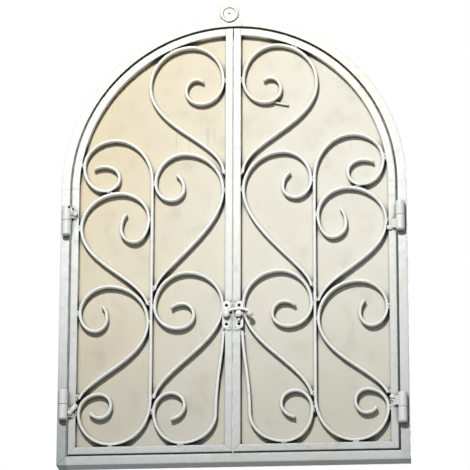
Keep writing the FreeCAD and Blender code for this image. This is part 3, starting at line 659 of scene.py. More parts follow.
def add_node(tree, kind, inputs=(), **settings):
    """Adds a node and gives back its outputs.

    Inputs go by place or by name: a socket is linked, a hex string is a colour, and
    anything else is the input's own value.
    """
    made = tree.nodes.new("ShaderNode" + kind)
    for name, value in settings.items():
        setattr(made, name, value)
    for name, value in (inputs.items() if isinstance(inputs, dict) else enumerate(inputs)):
        if isinstance(value, bpy.types.NodeSocket):
            tree.links.new(value, made.inputs[name])
        else:
            made.inputs[name].default_value = linear(value) if isinstance(value, str) else value
    return made.outputs


def new_material(name):
    """An empty node material and its tree."""
    made = bpy.data.materials.new(name)
    made.use_nodes = True
    made.node_tree.nodes.clear()
    return made, made.node_tree


def end_tree(tree, inputs, relief=None, strength=0.0, depth=0.0):
    """The shader of a material with these inputs, bumped by its relief, on the output."""
    if relief is not None:
        bump = add_node(tree, "Bump", {"Strength": strength, "Distance": depth,
                                       "Height": relief})
        inputs = {**inputs, "Normal": bump[0]}
    add_node(tree, "OutputMaterial", {"Surface": add_node(tree, "BsdfPrincipled", inputs)[0]})


def layered(tree, colour, layers):
    """A ground colour under layers, each a share and the colour it brings."""
    for share, layer in layers:
        colour = add_node(tree, "Mix", {0: share, 6: colour, 7: layer},
                          data_type="RGBA")[2]
    return colour


def brushed_enamel(name, gloss, rust_share, shading=0.0):
    """Oil enamel brushed thickly over welded mild steel, several coats.

    The eye gets a soft sheen over a lumpy skin: orange peel of about 3 mm, sags of about
    12 mm, yellowed patches a hand wide, dust in the low spots and a few rust pinholes.
    Painted shade turns gaps and corners near-black and greys the lower tubes and jamb feet.
    """
    look = colours()
    tree = new_material(name)[1]
    place = add_node(tree, "TexCoord")["Object"]
    # Patches of 110 mm, sags of 12 mm, orange peel drawn at 3 mm so that it shows, and pins.
    patch, sag, peel, pin = (
        add_node(tree, "TexNoise", {"Vector": place, "Scale": scale, "Detail": detail,
                                    "Roughness": rough})[0]
        for scale, detail, rough in ((9.0, 3.0, 0.5), (85.0, 2.0, 0.5), (340.0, 2.0, 0.5),
                                     (150.0, 4.0, 0.7)))
    wear = add_node(tree, "Attribute", attribute_name="wear")["Fac"]
    x, y, z = add_node(tree, "SeparateXYZ", [place])
    lofty = add_node(tree, "MapRange", (z, 0.45, 0.80, 0.0, 0.30), **SMOOTH)[0]
    patch = add_node(tree, "Math", (patch, lofty), operation="ADD")[0]
    aged = add_node(tree, "MapRange", (patch, 0.50, 0.78, 0.0, 0.7), **SMOOTH)[0]
    # Painted shade: grey darkens the foot of both jambs, most of all the left, and, in the tube
    # finish, the lower part of every tube.
    away = add_node(tree, "Math", [x], operation="ABSOLUTE")[0]
    foot = add_node(tree, "MapRange", (away, 0.280, 0.292), **SMOOTH)[0]
    for fade in ((y, FRONT - 1.2 * MM, FRONT - 0.4 * MM), (z, 0.0, 0.36, 1.0, 0.0),
                 (x, -0.28, 0.28, 0.80, 0.52)):
        share = add_node(tree, "MapRange", fade, **SMOOTH)[0]
        foot = add_node(tree, "Math", (foot, share), operation="MULTIPLY")[0]
    bottom_shading = add_node(tree, "MapRange", (z, 0.0, 0.55, shading, 0.0), **SMOOTH)[0]
    foot_shading = add_node(tree, "Math", (foot, bottom_shading), operation="MAXIMUM")[0]
    dusty = add_node(tree, "MapRange", (sag, 0.60, 0.80, 0.0, 0.22), **SMOOTH)[0]
    level = add_node(tree, "Math", (wear, 0.045, pin), operation="MULTIPLY_ADD")[0]
    chip = add_node(tree, "MapRange", (level, 0.745 - rust_share, 0.775 - rust_share, 0.0,
                                       0.75), **SMOOTH)[0]
    # Painted shade: near-black in corners and gaps within 14 mm of another face.
    nook = add_node(tree, "AmbientOcclusion", {"Distance": 14 * MM}, samples=6)["AO"]
    shaded = add_node(tree, "MapRange", (nook, 0.34, 0.88, 0.96, 0.0), **SMOOTH)[0]
    colour = layered(tree, look.enamel, (
        (aged, look.enamel_warm), (foot_shading, look.splash), (dusty, look.dust_and_shade),
        (chip, look.rust), (shaded, look.gap_shade)))
    rough = add_node(tree, "MapRange", (sag, 0.3, 0.7, gloss - 0.07, gloss + 0.09), **SMOOTH)[0]
    relief = add_node(tree, "Math", (sag, 1.6, peel), operation="MULTIPLY_ADD")[0]
    relief = add_node(tree, "Math", (chip, -0.6, relief), operation="MULTIPLY_ADD")[0]
    end_tree(tree, {"Base Color": colour, "Roughness": rough, "IOR": 1.48,
                    "Coat Weight": 0.12, "Coat Roughness": 0.25}, relief, 0.5, 0.7 * MM)


def rolled_cream(name):
    """Matt cream paint rolled on thin mild steel sheet.

    The eye gets a chalky, almost shineless face, warmer towards the upper left, with a
    roller stipple of about 2.5 mm, faint runs of rust below the welds, and small marks.
    Painted shade greys its foot and darkens it within 8 mm of the tubes and bars.
    """
    look = colours()
    tree = new_material(name)[1]
    place = add_node(tree, "TexCoord")["Object"]
    x, _, z = add_node(tree, "SeparateXYZ", [place])
    # Runs 5 mm wide and about 100 mm long: the pattern is drawn out twenty times upright.
    drawn = add_node(tree, "Mapping", {"Vector": place, "Scale": (1.0, 1.0, 0.05)})[0]
    broad, run, gate, speck, cloud, stipple = (
        add_node(tree, "TexNoise", {"Vector": where, "Scale": scale, "Detail": detail,
                                    "Roughness": rough})[0]
        for where, scale, detail, rough in (
            (place, 6.0, 3.0, 0.5), (drawn, 190.0, 3.0, 0.5), (place, 13.0, 1.0, 0.5),
            (place, 120.0, 5.0, 0.75), (place, 28.0, 4.0, 0.5), (place, 400.0, 2.0, 0.5)))
    # The warm side of the sheets: falls from the upper left to the lower right.
    slope = add_node(tree, "Math", (x, -1.25), operation="MULTIPLY")[0]
    for source, share in ((z, 0.55), (broad, 0.35)):
        slope = add_node(tree, "Math", (source, share, slope), operation="MULTIPLY_ADD")[0]
    # Painted shadow: near-black on the sheet within 8 mm of the tubes and bars in front of it.
    nook = add_node(tree, "AmbientOcclusion", {"Distance": 8 * MM}, samples=6)["AO"]
    # Of these shares, the sixth is painted shade: grey towards the foot of the sheets.
    warm, streak, held, spot, cloudy, low_shading, shaded, rough = (
        add_node(tree, "MapRange", stretch, **SMOOTH)[0] for stretch in (
            (slope, 0.22, 0.95), (run, 0.60, 0.72), (gate, 0.54, 0.70, 0.0, 0.17),
            (speck, 0.735, 0.765, 0.0, 0.6), (cloud, 0.5, 0.8, 0.0, 0.16),
            (z, 0.0, 0.42, 0.30, 0.0), (nook, 0.32, 0.78, 0.86, 0.0),
            (cloud, 0.3, 0.7, 0.68, 0.84)))
    stain = add_node(tree, "Math", (streak, held), operation="MULTIPLY")[0]
    colour = layered(tree, look.cream, (
        (warm, look.cream_warm), (stain, look.rust), (spot, look.rust), (cloudy, look.dust_and_shade),
        (low_shading, look.dust_and_shade), (shaded, look.gap_shade)))
    end_tree(tree, {"Base Color": colour, "Roughness": rough, "IOR": 1.45}, stipple, 0.3,
             0.4 * MM)


def turned_steel(name):
    """Mild steel pin, turned and greased: a dull metal with fine rings up its length."""
    tree = new_material(name)[1]
    place = add_node(tree, "TexCoord")["Object"]
    # Tool rings drawn at 0.8 mm, coarser than real ones, which would not show.
    ring = add_node(tree, "TexWave", {"Vector": place, "Scale": 400.0, "Distortion": 1.5},
                    bands_direction="Z")[1]
    shade, rough = (add_node(tree, "MapRange", (ring, 0.0, 1.0, low, high), **SMOOTH)[0]
                    for low, high in ((0.0, 0.4), (0.32, 0.5)))
    colour = layered(tree, colours().steel, [(shade, colours().dust_and_shade)])
    end_tree(tree, {"Base Color": colour, "Roughness": rough, "Metallic": 1.0}, ring, 0.3,
             0.1 * MM)


def hole_shade_black(name):
    """Painted shade: near-black for the dark depth of holes and weld pits."""
    tree = new_material(name)[1]
    place = add_node(tree, "TexCoord")["Object"]
    grain = add_node(tree, "TexNoise", {"Vector": place, "Scale": 900.0, "Detail": 3.0})[0]
    share = add_node(tree, "MapRange", (grain, 0.4, 0.7), **SMOOTH)[0]
    end_tree(tree, {"Base Color": layered(tree, "0B0A09", [(share, "231C15")]),
                    "Roughness": 0.85, "IOR": 1.3})


def finishes():
    """The finishes, made once and found by name after that."""
    have = bpy.data.materials
    if "enamel brushed on mild steel tube" not in have:
        brushed_enamel("enamel brushed on mild steel tube", 0.44, 0.0, 0.42)
        brushed_enamel("enamel brushed on mild steel bar", 0.42, 0.0)
        brushed_enamel("latch enamel dipped on cast steel", 0.34, 0.004)
        rolled_cream("cream paint rolled on steel sheet")
        turned_steel("mild steel pin turned")
        hole_shade_black("painted shade in holes")
    return {
        "painted_steel": have["enamel brushed on mild steel tube"],
        "bars": have["enamel brushed on mild steel bar"],
        "painted_latch": have["latch enamel dipped on cast steel"],
        "painted_sheet": have["cream paint rolled on steel sheet"],
        "bare_pin": have["mild steel pin turned"],
        "hole": have["painted shade in holes"],
    }


def painted(made, body, slot, *stands_for):
    """A piece with the finish of its slot; bars, welds and hinges lack the grey painted shade over
    the lower part of the tubes.
    """
    return finish_piece(made, body, finishes()[slot],
                        stands_for)


# ---- operators ----

class GRILLE_OT_frame_tubes(bpy.types.Operator):
    """Sill, jambs and arch of the outer frame, with their dressed corner welds"""

    bl_idname = "grille.frame_tubes"
    bl_label = "Frame tubes"

    def execute(self, context):
        deep = SILL_HIGH[1] - FRONT
        middle_y = (SILL_HIGH[1] + FRONT) / 2
        corner = sizes().frame_corner
        line = HALF_WIDTH - FACE / 2
        low = FLOOR + FACE / 2
        sill = straight_tube((-line, low), (line, low), FACE, deep, middle_y, corner, (1, -1),
                             11)
        painted(mesh_object("sill_tube", [sill]), "frame", "painted_steel", "frame_sill")
        for way, name in ((-1, "left"), (1, "right")):
            jamb = straight_tube((way * line, low), (way * line, SPRING), FACE, deep,
                                 middle_y, corner, (way, 0), 21 + way)
            painted(mesh_object(name + "_jamb_tube", [jamb]), "frame", "painted_steel",
                    "frame_" + name + "_jamb")
            arch = arch_tube(HALF_WIDTH, ARCH_RISE, FACE, deep, middle_y, corner, SPLICE, way,
                             31 + way)
            painted(mesh_object(name + "_arch_tube", [arch]), "frame", "painted_steel",
                    "frame_arch_" + name)
        for node in ("frame_sill_lip", "frame_left_lip", "frame_right_lip",
                     "frame_arch_left_lip", "frame_arch_right_lip"):
            painted(softened_copy(node.replace("frame_", "") + "_strip", node, 0.4 * MM),
                    "frame", "painted_steel", node)
        # Dressed weld across the splice: a low bead that follows the cut over the face.
        top = SPRING + ARCH_RISE * math.sqrt(1 - (SPLICE / HALF_WIDTH) ** 2)
        seam = [bead((SPLICE - 1.5 * MM, FRONT + 0.5 * MM, top - 15.5 * MM),
                     (SPLICE + 1.5 * MM, FRONT + 0.5 * MM, top - 0.8 * MM), 0.9 * MM, 41)]
        for way in (-1, 1):
            foot = (way * (HALF_WIDTH - 1.2 * MM), FRONT + 0.6 * MM, FLOOR + 1.2 * MM)
            elbow = (way * (HALF_WIDTH - FACE), FRONT + 0.6 * MM, FLOOR + FACE)
            seam.append(bead(foot, elbow, 0.9 * MM, 43 + way))
        painted(mesh_object("frame_seam_welds", seam), "frame", "painted_steel")
        return {"FINISHED"}


class GRILLE_OT_hanging_boss(bpy.types.Operator):
    """Tab, raised ring and washer on the crown"""

    bl_idname = "grille.hanging_boss"
    bl_label = "Hanging boss"

    def execute(self, context):
        painted(softened_copy("hanging_tab", "hanging_plate", 0.8 * MM), "frame",
                "painted_steel", "hanging_plate")
        centre = (RING_LOW + RING_HIGH) / 2
        centre[1] = RING_HIGH[1]
        outside = (RING_HIGH[0] - RING_LOW[0]) / 2
        inside = (WASHER_HIGH[0] - WASHER_LOW[0]) / 2
        thick = RING_HIGH[1] - RING_LOW[1]
        shape, _ = outline(outside - inside, thick, 1.7 * MM)
        shape = shape + [(outside + inside) / 2, thick / 2]
        ring = turned(shape, centre, "y", 51, 0.25 * MM, 64, closed=True)
        notches = [lump(centre + np.array([0.3 * MM, -0.6 * MM, -outside + 1 * MM]),
                        (2.2 * MM, 1.6 * MM, 1.6 * MM), 53),
                   lump(centre + np.array([outside - 2 * MM, -2.6 * MM, 0.4 * MM]),
                        (2.0 * MM, 1.5 * MM, 4.0 * MM), 55)]
        painted(mesh_object("hanging_collar", [ring] + notches), "frame", "painted_steel",
                "hanging_ring")
        flat, _ = outline(inside - HANGING_HOLE, 1.5 * MM, 0.5 * MM)
        flat = flat + [(inside + HANGING_HOLE) / 2, 0.75 * MM]
        disc = turned(flat, centre, "y", 57, 0.05 * MM, 48, closed=True)
        painted(mesh_object("hanging_disc", [disc]), "frame", "painted_steel",
                "hanging_washer")
        # Painted shade inside the hanging hole: a near-black sleeve 0.2 mm thick against its wall.
        bore, low, high = HANGING_HOLE - 0.2 * MM, -2.6 * MM, 1.4 * MM
        sleeve = [(bore, low), (HANGING_HOLE, low), (HANGING_HOLE, high), (bore, high)]
        liner = turned(sleeve, centre, "y", 59, 0.0, 28, closed=True)
        finish_piece(mesh_object("hanging_hole_wall", [liner]), "frame", finishes()["hole"])
        return {"FINISHED"}


class GRILLE_OT_leaf_tubes(bpy.types.Operator):
    """Stiles, bottom rail and arch rail of both leaves"""

    bl_idname = "grille.leaf_tubes"
    bl_label = "Leaf tubes"

    def execute(self, context):
        corner = sizes().tube_corner
        half = LEAF_TUBE / 2
        low = RAIL_LOW[2] + half
        for way, name in ((-1, "left"), (1, "right")):
            body = name + "_leaf"
            hinge_x, meet_x = way * (STILE_OUT - half), way * (MEET_OUT + half)
            top = SPRING + LEAF_RISE - 0.15 * MM
            runs = {"hinge_stile": ((hinge_x, low), (hinge_x, SPRING), (way, 0), 61),
                    "meeting_stile": ((meet_x, low), (meet_x, top), (-way, way * 0.026), 71),
                    "bottom_rail": ((meet_x, low), (hinge_x, low), (way, -way), 81)}
            tubes = {key: straight_tube(start, end, LEAF_TUBE, BAR_DEPTH, MID_BAR, corner,
                                        mitres, seed + way)
                     for key, (start, end, mitres, seed) in runs.items()}
            tubes["arch_rail"] = arch_tube(STILE_OUT, LEAF_RISE, LEAF_TUBE, BAR_DEPTH, MID_BAR,
                                           corner, way * MEET_IN, way, 91 + way)
            for key, tube in tubes.items():
                painted(mesh_object(name + "_" + key + "_tube", [tube]), body,
                        "painted_steel", name + "_" + key)
        return {"FINISHED"}


class GRILLE_OT_scrolls(bpy.types.Operator):
    """The seven flat-bar scrolls of each leaf, on edge, and the leftover strip"""

    bl_idname = "grille.scrolls"
    bl_label = "Scrolls"

    def execute(self, context):
        look = sizes()
        for number, (key, path) in enumerate(scroll_paths().items()):
            for way, name in ((-1, "left"), (1, "right")):
                bent = path * [way, 1]
                bar = bar_sweep(bent, look.bar_thick, BAR_DEPTH, MID_BAR, look.bar_corner,
                                101 + 2 * number + way)
                painted(mesh_object(name + "_" + key + "_bar", [bar]), name + "_leaf",
                        "bars", name + "_" + key)
        start = np.array([inner(0.44), height(1.556)])
        end = np.array([inner(0.65), height(1.532)])
        share = np.linspace(0, 1, 9)[:, None]
        strip = start + (end - start) * share + [0, -0.6 * MM] * np.sin(share * math.pi)
        low, high = corners("right_curl_stub")
        made = bar_sweep(strip, 3.0 * MM, high[1] - low[1], (low[1] + high[1]) / 2, 0.9 * MM, 131)
        painted(mesh_object("right_leftover_strip", [made]), "right_leaf", "bars",
                "right_curl_stub")
        return {"FINISHED"}


class GRILLE_OT_welds(bpy.types.Operator):
    """Weld lumps that join the bars to the tubes and to each other"""

    bl_idname = "grille.welds"
    bl_label = "Welds"

    def execute(self, context):
        size = sizes().weld_size
        seams = weld_seams(scroll_paths())
        for way, name in ((-1, "left"), (1, "right")):
            random = np.random.default_rng(200 + way)
            lumps = []
            for number, (x, z, lean) in enumerate(seams):
                along = np.array([math.sin(lean), math.cos(lean)])
                for part in (-1, 1):
                    slip = part * size * random.uniform(0.25, 0.45)
                    wide = random.uniform(2.6, 3.4) * MM
                    place = np.array([x, z]) + along * slip
                    centre = (way * place[0], MID_BAR - random.uniform(0.1, 0.7) * MM, place[1])
                    radii = (wide, 6.2 * MM, size * random.uniform(0.6, 0.8))
                    lumps.append(lump(centre, radii, 1000 + 50 * number + 7 * part + way,
                                      way * lean))
            painted(mesh_object(name + "_weld_lumps", lumps), name + "_leaf",
                    "bars", name + "_scroll_welds")
            rows = []
            middle = way * (MEET_OUT + MEET_IN) / 2
            for up in (-1, 1):
                edge = LATCH_HEIGHT + up * (PLATE_HIGH[2] - PLATE_LOW[2]) / 2
                for shift, radius in ((-2.4, 3.2), (1.8, 3.8), (-0.4, 2.8)):
                    centre = (middle + shift * MM, FRONT - 0.1 * MM, edge + up * radius / 3 * MM)
                    rows.append(lump(centre, (radius * MM, 1.9 * MM, radius * 0.8 * MM),
                                     300 + int(10 * shift) + 3 * up + way))
            painted(mesh_object(name + "_plate_weld_lumps", rows), name + "_leaf",
                    "painted_steel", name + "_plate_welds")
        return {"FINISHED"}


class GRILLE_OT_sheets(bpy.types.Operator):
    """Thin backing sheets, bowed a little towards the wall"""

    bl_idname = "grille.sheets"
    bl_label = "Backing sheets"

    def execute(self, context):
        near, far = SHEET_LOW[0], SHEET_HIGH[0]
        rise = SHEET_HIGH[2] - SPRING
        thick = SHEET_HIGH[1] - SHEET_LOW[1]
        for way, name in ((-1, "left"), (1, "right")):
            # x = near + (far - near) sin(u), z from the foot up to the arch above that x.
            across = near + (far - near) * np.sin(np.linspace(0, math.pi / 2, 60))
            top = SPRING + rise * np.sqrt(np.clip(1 - (across / far) ** 2, 0, 1))
            share = np.linspace(0, 1, 110)[:, None]
            z = SHEET_LOW[2] + share * (top - SHEET_LOW[2])
            x = np.broadcast_to(way * across, z.shape)
            flat = np.stack([x, np.zeros_like(x), z], -1)
            fall = np.sin(np.pi * np.clip((across - near) / (far - near), 0, 1)) ** 0.5
            fall = fall * np.sin(np.pi * share) ** 0.5
            bow = sizes().sheet_wave * fall * (0.5 + 0.5 * uneven(flat, 0.16, 401 + way))
            bow = np.clip(bow, 0, 2 * sizes().sheet_wave)
            front = np.stack([x, SHEET_LOW[1] + bow, z], -1)
            back = np.stack([x, SHEET_LOW[1] + thick + bow, z], -1)
            rows = np.concatenate([front, back[:, ::-1]], 1)
            painted(mesh_object(name + "_sheet", [lattice(rows, ends="zip")]), name + "_leaf",
                    "painted_sheet", name + "_backing_sheet")
        return {"FINISHED"}


class GRILLE_OT_hinges(bpy.types.Operator):
    """Four barrel hinges with their weld feet, lugs and weld lumps"""

    bl_idname = "grille.hinges"
    bl_label = "Hinges"

    def execute(self, context):
        for way, side in ((-1, "left"), (1, "right")):
            for level in ("upper", "lower"):
                name = side + "_" + level
                low, high = corners(name + "_pin")
                x, y = (low[0] + high[0]) / 2, (low[1] + high[1]) / 2
                seed = 500 + 40 * (way + 1) + (20 if level == "upper" else 0)
                self.frame_half(name, way, x, y, seed)
                self.leaf_half(name, side, way, x, y, seed + 9)
        finish = finishes()["bare_pin"]
        for node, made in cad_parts.items():
            if node.endswith("_pin"):
                made.data.materials.clear()
                made.data.materials.append(finish)
        return {"FINISHED"}

    def knuckle(self, x, y, low, high, other, seed):
        """Barrel: rounded at its free end and nearly square where it meets its fellow."""
        soft = (0.5 * MM, 1.6 * MM) if low > other else (1.6 * MM, 0.5 * MM)
        return turned(rounded_post(BARREL, 0, high - low, *soft), (x, y, low), "z", seed,
                      0.16 * MM)

    def frame_half(self, name, way, x, y, seed):
        """Frame knuckle, its foot on the jamb, and a bead down each side of the foot."""
        low, high = corners(name + "_frame_knuckle")
        other = corners(name + "_leaf_knuckle")[0][2]
        half = FOOT_HALF
        foot = block_outline([(x - half, y), (x + half, y), (x + half, FRONT + 0.2 * MM),
                              (x - half, FRONT + 0.2 * MM)], 0.6 * MM, low[2] + 1 * MM,
                             high[2] - 1 * MM, seed)
        parts = [self.knuckle(x, y, low[2], high[2], other, seed + 1), foot]
        for hand in (-1, 1):
            edge = x + hand * (half + 0.6 * MM)
            parts.append(bead((edge, FRONT - 0.8 * MM, low[2] + 2 * MM),
                              (edge, FRONT - 0.8 * MM, high[2] - 2 * MM), 1.9 * MM,
                              seed + 3 + hand, 3.4 * MM))
        outer_side = x + way * 6.6 * MM
        middle = (low[2] + high[2]) / 2
        parts.append(lump((outer_side, FRONT - 2.6 * MM, middle + 3 * MM),
                          (2.2 * MM, 2.8 * MM, 6.5 * MM), seed + 6))
        painted(mesh_object(name + "_frame_barrel", parts), "frame", "bars",
                name + "_frame_knuckle")

    def leaf_half(self, name, side, way, x, y, seed):
        """Leaf knuckle, the lug that lands on the stile, and the lumps that hold it."""
        low, high = corners(name + "_leaf_knuckle")
        other = corners(name + "_frame_knuckle")[0][2]
        middle = (low[2] + high[2]) / 2
        edge = way * (STILE_OUT - 0.5 * MM)
        tip = edge - way * LUG_REACH
        lug = block_outline([(x, y - 4 * MM), (x, y + 4 * MM), (edge, FRONT + 0.1 * MM),
                             (tip, FRONT + 0.1 * MM), (tip, FRONT - 2 * MM)][::way], 0.7 * MM,
                            middle - LUG_HALF, middle + LUG_HALF, seed)
        parts = [self.knuckle(x, y, low[2], high[2], other, seed + 1), lug]
        toe = tip - way * 0.5 * MM
        if name == "left_upper":
            # A fat blob reaches down to the stile, under two blow holes at the barrel's head; the
            # holes are shallow cups in painted shade.
            parts.append(lump((x + 8.0 * MM, FRONT - 7.0 * MM, middle + 3.0 * MM),
                              (7.2 * MM, 6.0 * MM, 7.6 * MM), seed + 2, rough=0.1))
            parts.append(lump((x + 14.0 * MM, FRONT - 4.6 * MM, middle - 0.5 * MM),
                              (5.2 * MM, 4.4 * MM, 5.0 * MM), seed + 3, rough=0.1))
            pits = [turned(PIT, (x + 4.4 * MM, y - 7.0 * MM, high[2] - 3.0 * MM), "y", 541, 0, 20),
                    turned(PIT, (x + 10.8 * MM, FRONT - 12.0 * MM, middle + 6.5 * MM), "y", 543,
                           0, 20)]
            finish_piece(mesh_object("left_upper_weld_pits", pits), side + "_leaf",
                         finishes()["hole"])
        elif name == "left_lower":
            # A short bent stay runs down from the stile to a ball beside the barrel.
            path = np.array([(toe - way * 4 * MM, FRONT - 2.2 * MM, middle + 15 * MM),
                             (toe + way * 0 * MM, FRONT - 3.6 * MM, middle + 8 * MM),
                             (toe + way * 6 * MM, FRONT - 6.0 * MM, middle + 1 * MM)])
            t = np.linspace(0, 1, 18)[:, None]
            curve = (1 - t) ** 2 * path[0] + 2 * t * (1 - t) * path[1] + t ** 2 * path[2]
            blunt = np.sqrt(np.clip(1 - np.abs(2 * t - 1) ** 6, 0.05, 1))
            parts.append(rod(curve, np.hstack([4.6 * MM * blunt, 3.2 * MM * blunt]), seed + 2))
            parts.append(lump(path[2] + [way * 1.5 * MM, -0.5 * MM, -2 * MM],
                              (5.4 * MM, 4.6 * MM, 5.4 * MM), seed + 3, rough=0.08))
            # A shallow cup in painted shade stands for a blow hole.
            pit = turned(PIT, (x + 7.6 * MM, FRONT - 9.0 * MM, middle - 3.5 * MM), "y", 545, 0, 20)
            finish_piece(mesh_object("left_lower_weld_pit", [pit]), side + "_leaf",
                         finishes()["hole"])
        elif name == "right_upper":
            parts.append(lump((toe, FRONT - 1.8 * MM, middle - 6 * MM),
                              (5.2 * MM, 2.6 * MM, 5.0 * MM), seed + 2))
            parts.append(bead((toe - way * 0.5 * MM, FRONT - 1.0 * MM, middle - 4 * MM),
                              (toe, FRONT - 1.0 * MM, middle + 8 * MM), 2.0 * MM, seed + 3))
        else:
            # Two strings of weld slant up from the barrel to the stile.
            for rise, step in ((7.5, 2), (1.5, 3)):
                start = (x - way * 5.5 * MM, FRONT - 6.0 * MM, middle + (rise - 7) * MM)
                end = (toe - way * 3 * MM, FRONT - 1.4 * MM, middle + (rise + 2) * MM)
                parts.append(bead(start, end, 1.7 * MM, seed + step))
            parts.append(lump((toe + way * 1 * MM, FRONT - 2.0 * MM, middle + 7 * MM),
                              (5.6 * MM, 3.0 * MM, 4.2 * MM), seed + 4))
        for up in (-1, 1):
            z = middle + up * 8.2 * MM
            parts.append(bead((edge - way * 0.5 * MM, FRONT - 1.0 * MM, z),
                              (tip + way * 0.5 * MM, FRONT - 0.8 * MM, z), 1.6 * MM,
                              seed + 5 + up))
        painted(mesh_object(name + "_leaf_barrel", parts), side + "_leaf", "bars",
                name + "_leaf_knuckle")


class GRILLE_OT_latch(bpy.types.Operator):
    """Latch plates, posts and the swing hook"""

    bl_idname = "grille.latch"
    bl_label = "Latch"

    def execute(self, context):
        body = {"pivot": "left_leaf", "keeper": "right_leaf"}
        for key, way in (("pivot", -1), ("keeper", 1)):
            x = way * LATCH_OFFSET
            node = "latch_" + key + "_plate"
            painted(softened_copy(key + "_plate", node, 0.45 * MM), body[key],
                    "painted_latch", node)
            low, high = corners("latch_" + key + "_post")
            length = high[1] - low[1]
            under = length - HEAD_HIGH
            neck, waist = COLLAR[key], WAIST[key]
            turn = np.linspace(0, math.pi / 2, 7)[1:-1]
            dome = np.stack([HEAD * np.cos(turn), length - DOME + DOME * np.sin(turn)], 1)
            shape = np.concatenate([
                [(neck - 0.3 * MM, 0), (neck, 0.3 * MM), (neck, 1.3 * MM), (waist, 1.6 * MM),
                 (waist, under - 0.02 * MM), (HEAD - 0.3 * MM, under),
                 (HEAD, under + 0.3 * MM), (HEAD, length - DOME)], dome])
            post = turned(shape, (x, high[1], LATCH_HEIGHT), "y", 601 + way, 0.12 * MM, 36)
            painted(mesh_object(key + "_post", [post]), body[key], "painted_latch",
                    "latch_" + key + "_post")
            if key == "keeper":
                peg = turned(rounded_post(2.4 * MM, 0, 4.0 * MM, 0.3 * MM, 1.2 * MM),
                             (x, PLATE_LOW[1], LATCH_HEIGHT - 9.5 * MM), "y", 604, 0.1 * MM, 24)
                painted(mesh_object("keeper_peg", [peg]), body[key], "painted_latch")
            holes = []
            for up in (-1, 1):
                # Shallow cup over the pilot hole: radius against depth, closed at the middle; its
                # near-black finish is painted shade for the hole's depth.
                cup = [(0.3 * MM, 0.2 * MM), (2.3 * MM, 0.2 * MM), (2.55 * MM, 0.5 * MM),
                       (2.3 * MM, 0.35 * MM), (0.3 * MM, 0.3 * MM)]
                place = (x, FRONT, LATCH_HEIGHT + up * SCREW_RISE)
                holes.append(turned(cup, place, "y", 605 + up, 0.02 * MM, 28))
            made = mesh_object(key + "_screw_hole_floors", holes)
            finish_piece(made, body[key], finishes()["hole"])
        low, high = corners("latch_hook")
        seat_y = high[1] - 2.25 * MM
        start, end = -LATCH_OFFSET, LATCH_OFFSET + HOOK_PAST
        turn = math.pi * (1 - np.linspace(0, 1, HOOK_STEPS))
        x = (start + end) / 2 + (end - start) / 2 * np.cos(turn)
        z = LATCH_HEIGHT + HOOK_BOW * np.sin(turn).clip(0) ** 0.8
        path = np.stack([x, np.full_like(x, seat_y), z], 1)
        arm = rod(path, np.tile([HOOK_WIDE, HOOK_DEEP], (HOOK_STEPS, 1)), 611, rough=0.05)
        eye = turned(rounded_post(HOOK_EYE, 0, 4.3 * MM, 1.0 * MM, 1.0 * MM),
                     (start, seat_y + 2.15 * MM, LATCH_HEIGHT), "y", 613, 0.1 * MM, 32)
        ball = lump((end, seat_y - 1.6 * MM, LATCH_HEIGHT), (HOOK_BALL,) * 3, 615,
                    rough=0.03, rings=17, sides=28)
        painted(mesh_object("swing_hook", [arm, eye, ball]), "hook", "painted_latch",
                "latch_hook")
        return {"FINISHED"}


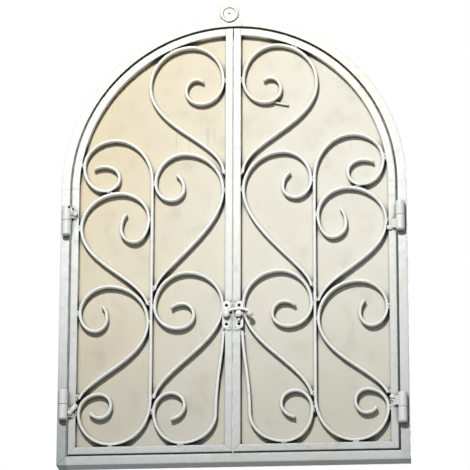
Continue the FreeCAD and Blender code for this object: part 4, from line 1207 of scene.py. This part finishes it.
class GRILLE_OT_stage(bpy.types.Operator):
    """Plain pale floor far below, a soft key light, a panel behind and the camera"""

    bl_idname = "grille.stage"
    bl_label = "Stage"

    def execute(self, context):
        scene = context.scene
        scene.view_settings.view_transform = "Standard"
        turn = np.linspace(0, 2 * math.pi, 97)[:-1]
        reach = np.linspace(0.001, 12.0, 12)
        rows = np.stack([reach[:, None] * np.cos(turn), reach[:, None] * np.sin(turn),
                         np.full((12, 96), -2.6)], -1)
        floor = mesh_object("floor", [lattice(rows, ends="none")])
        self.facing_up(floor)
        material, tree = new_material("pale matt floor paint")
        place = add_node(tree, "TexCoord")["Object"]
        grain = add_node(tree, "TexNoise", {"Vector": place, "Scale": 40.0, "Detail": 3.0})[0]
        share = add_node(tree, "MapRange", (grain, 0.3, 0.7), **SMOOTH)[0]
        colour = layered(tree, "F4F4F2", [(share, "EFEFED")])
        seen = add_node(tree, "LightPath")["Is Camera Ray"]
        glow = add_node(tree, "Math", (seen, 0.55, 0.1), operation="MULTIPLY_ADD")[0]
        end_tree(tree, {"Base Color": colour, "Roughness": 0.9, "Emission Strength": glow,
                        "Emission Color": (1.0, 1.0, 1.0, 1.0)})
        floor.data.materials.append(material)

        self.lamp("key", (-0.42, -3.3, 2.15), (0.14, 0, 0.83), 0.2, 535.0, (1.0, 0.99, 0.972))
        # A wide panel behind the wall side, which only the back of the grille sees.
        data = bpy.data.lights.new("back panel", "AREA")
        data.size = 2.5
        data.energy = 95.0
        panel = bpy.data.objects.new("back panel", data)
        scene.collection.objects.link(panel)
        self.aim(panel, np.array([0.6, 3.6, 1.9]), np.array([0, 0, 0.4]))
        world = bpy.data.worlds.new("studio")
        scene.world = world
        world.use_nodes = True
        tree = world.node_tree
        tree.nodes.clear()
        # White where the camera looks past the grille, and a dimmer, cool fill elsewhere.
        seen = add_node(tree, "LightPath")["Is Camera Ray"]
        fill, white = (add_node(tree, "Background", {"Color": shade, "Strength": power})[0]
                       for shade, power in (((0.86, 0.93, 1.0, 1.0), 0.11),
                                            ((1.0, 1.0, 1.0, 1.0), 1.0)))
        mix = add_node(tree, "MixShader", (seen, fill, white))[0]
        add_node(tree, "OutputWorld", {"Surface": mix})
        self.camera(scene)
        return {"FINISHED"}

    def facing_up(self, floor):
        """The floor is an open sheet, so its faces are turned up by hand."""
        if floor.data.polygons[0].normal.z < 0:
            floor.data.flip_normals()

    def lamp(self, name, place, target, radius, power, colour):
        """A soft round light whose cone fades away from its target."""
        data = bpy.data.lights.new(name, "SPOT")
        data.shadow_soft_size = radius
        data.spot_size = math.radians(50)
        data.spot_blend = 1.0
        data.energy = power
        data.color = colour
        made = bpy.data.objects.new(name, data)
        bpy.context.scene.collection.objects.link(made)
        self.aim(made, np.array(place), np.array(target))

    def aim(self, made, place, target, roll=0.0):
        """Puts an object at a place, looking at a target, turned by roll about that line."""
        look = Vector(target - place)
        turn = look.to_track_quat("-Z", "Y").to_matrix().to_4x4()
        made.matrix_world = (Matrix.Translation(Vector(place)) @ turn
                             @ Matrix.Rotation(roll, 4, "Z"))

    def camera(self, scene):
        """Long lens from 5.5 m, a little to the right of the grille and below it."""
        data = bpy.data.cameras.new("camera")
        data.sensor_width = 36.0
        data.lens = 240.6
        made = bpy.data.objects.new("camera", data)
        scene.collection.objects.link(made)
        side, down = math.radians(5.5), math.radians(17.0)
        back = np.array([math.sin(side) * math.cos(down), -math.cos(side) * math.cos(down),
                         -math.sin(down)])
        target = np.array([0.0036, FRONT, 0.3990])
        self.aim(made, target + 5.5 * back, target, math.radians(0.12))
        data.clip_end = 200.0
        scene.camera = made


class GRILLE_PT_panel(bpy.types.Panel):
    """Lists the grille's sizes, colours and builders"""

    bl_idname = "GRILLE_PT_panel"
    bl_label = "Window grille"
    bl_space_type = "VIEW_3D"
    bl_region_type = "UI"
    bl_category = "Grille"

    def draw(self, context):
        for group in (context.scene.grille_sizes, context.scene.grille_colours):
            for name in group.__annotations__:
                self.layout.prop(group, name)
        for made in OPERATORS:
            self.layout.operator(made.bl_idname)


OPERATORS = (GRILLE_OT_frame_tubes, GRILLE_OT_hanging_boss, GRILLE_OT_leaf_tubes,
             GRILLE_OT_scrolls, GRILLE_OT_welds, GRILLE_OT_sheets, GRILLE_OT_hinges,
             GRILLE_OT_latch, GRILLE_OT_stage)
CLASSES = (GrilleSizes, GrilleColours) + OPERATORS + (GRILLE_PT_panel,)


def register():
    for made in CLASSES:
        bpy.utils.register_class(made)
    bpy.types.Scene.grille_sizes = bpy.props.PointerProperty(type=GrilleSizes)
    bpy.types.Scene.grille_colours = bpy.props.PointerProperty(type=GrilleColours)


def unregister():
    del bpy.types.Scene.grille_sizes
    del bpy.types.Scene.grille_colours
    for made in reversed(CLASSES):
        bpy.utils.unregister_class(made)


def main():
    """Registers the add-on and builds every piece in order."""
    register()
    for made in OPERATORS:
        group, name = made.bl_idname.split(".")
        getattr(getattr(bpy.ops, group), name)()


if __name__ == "__main__":
    main()
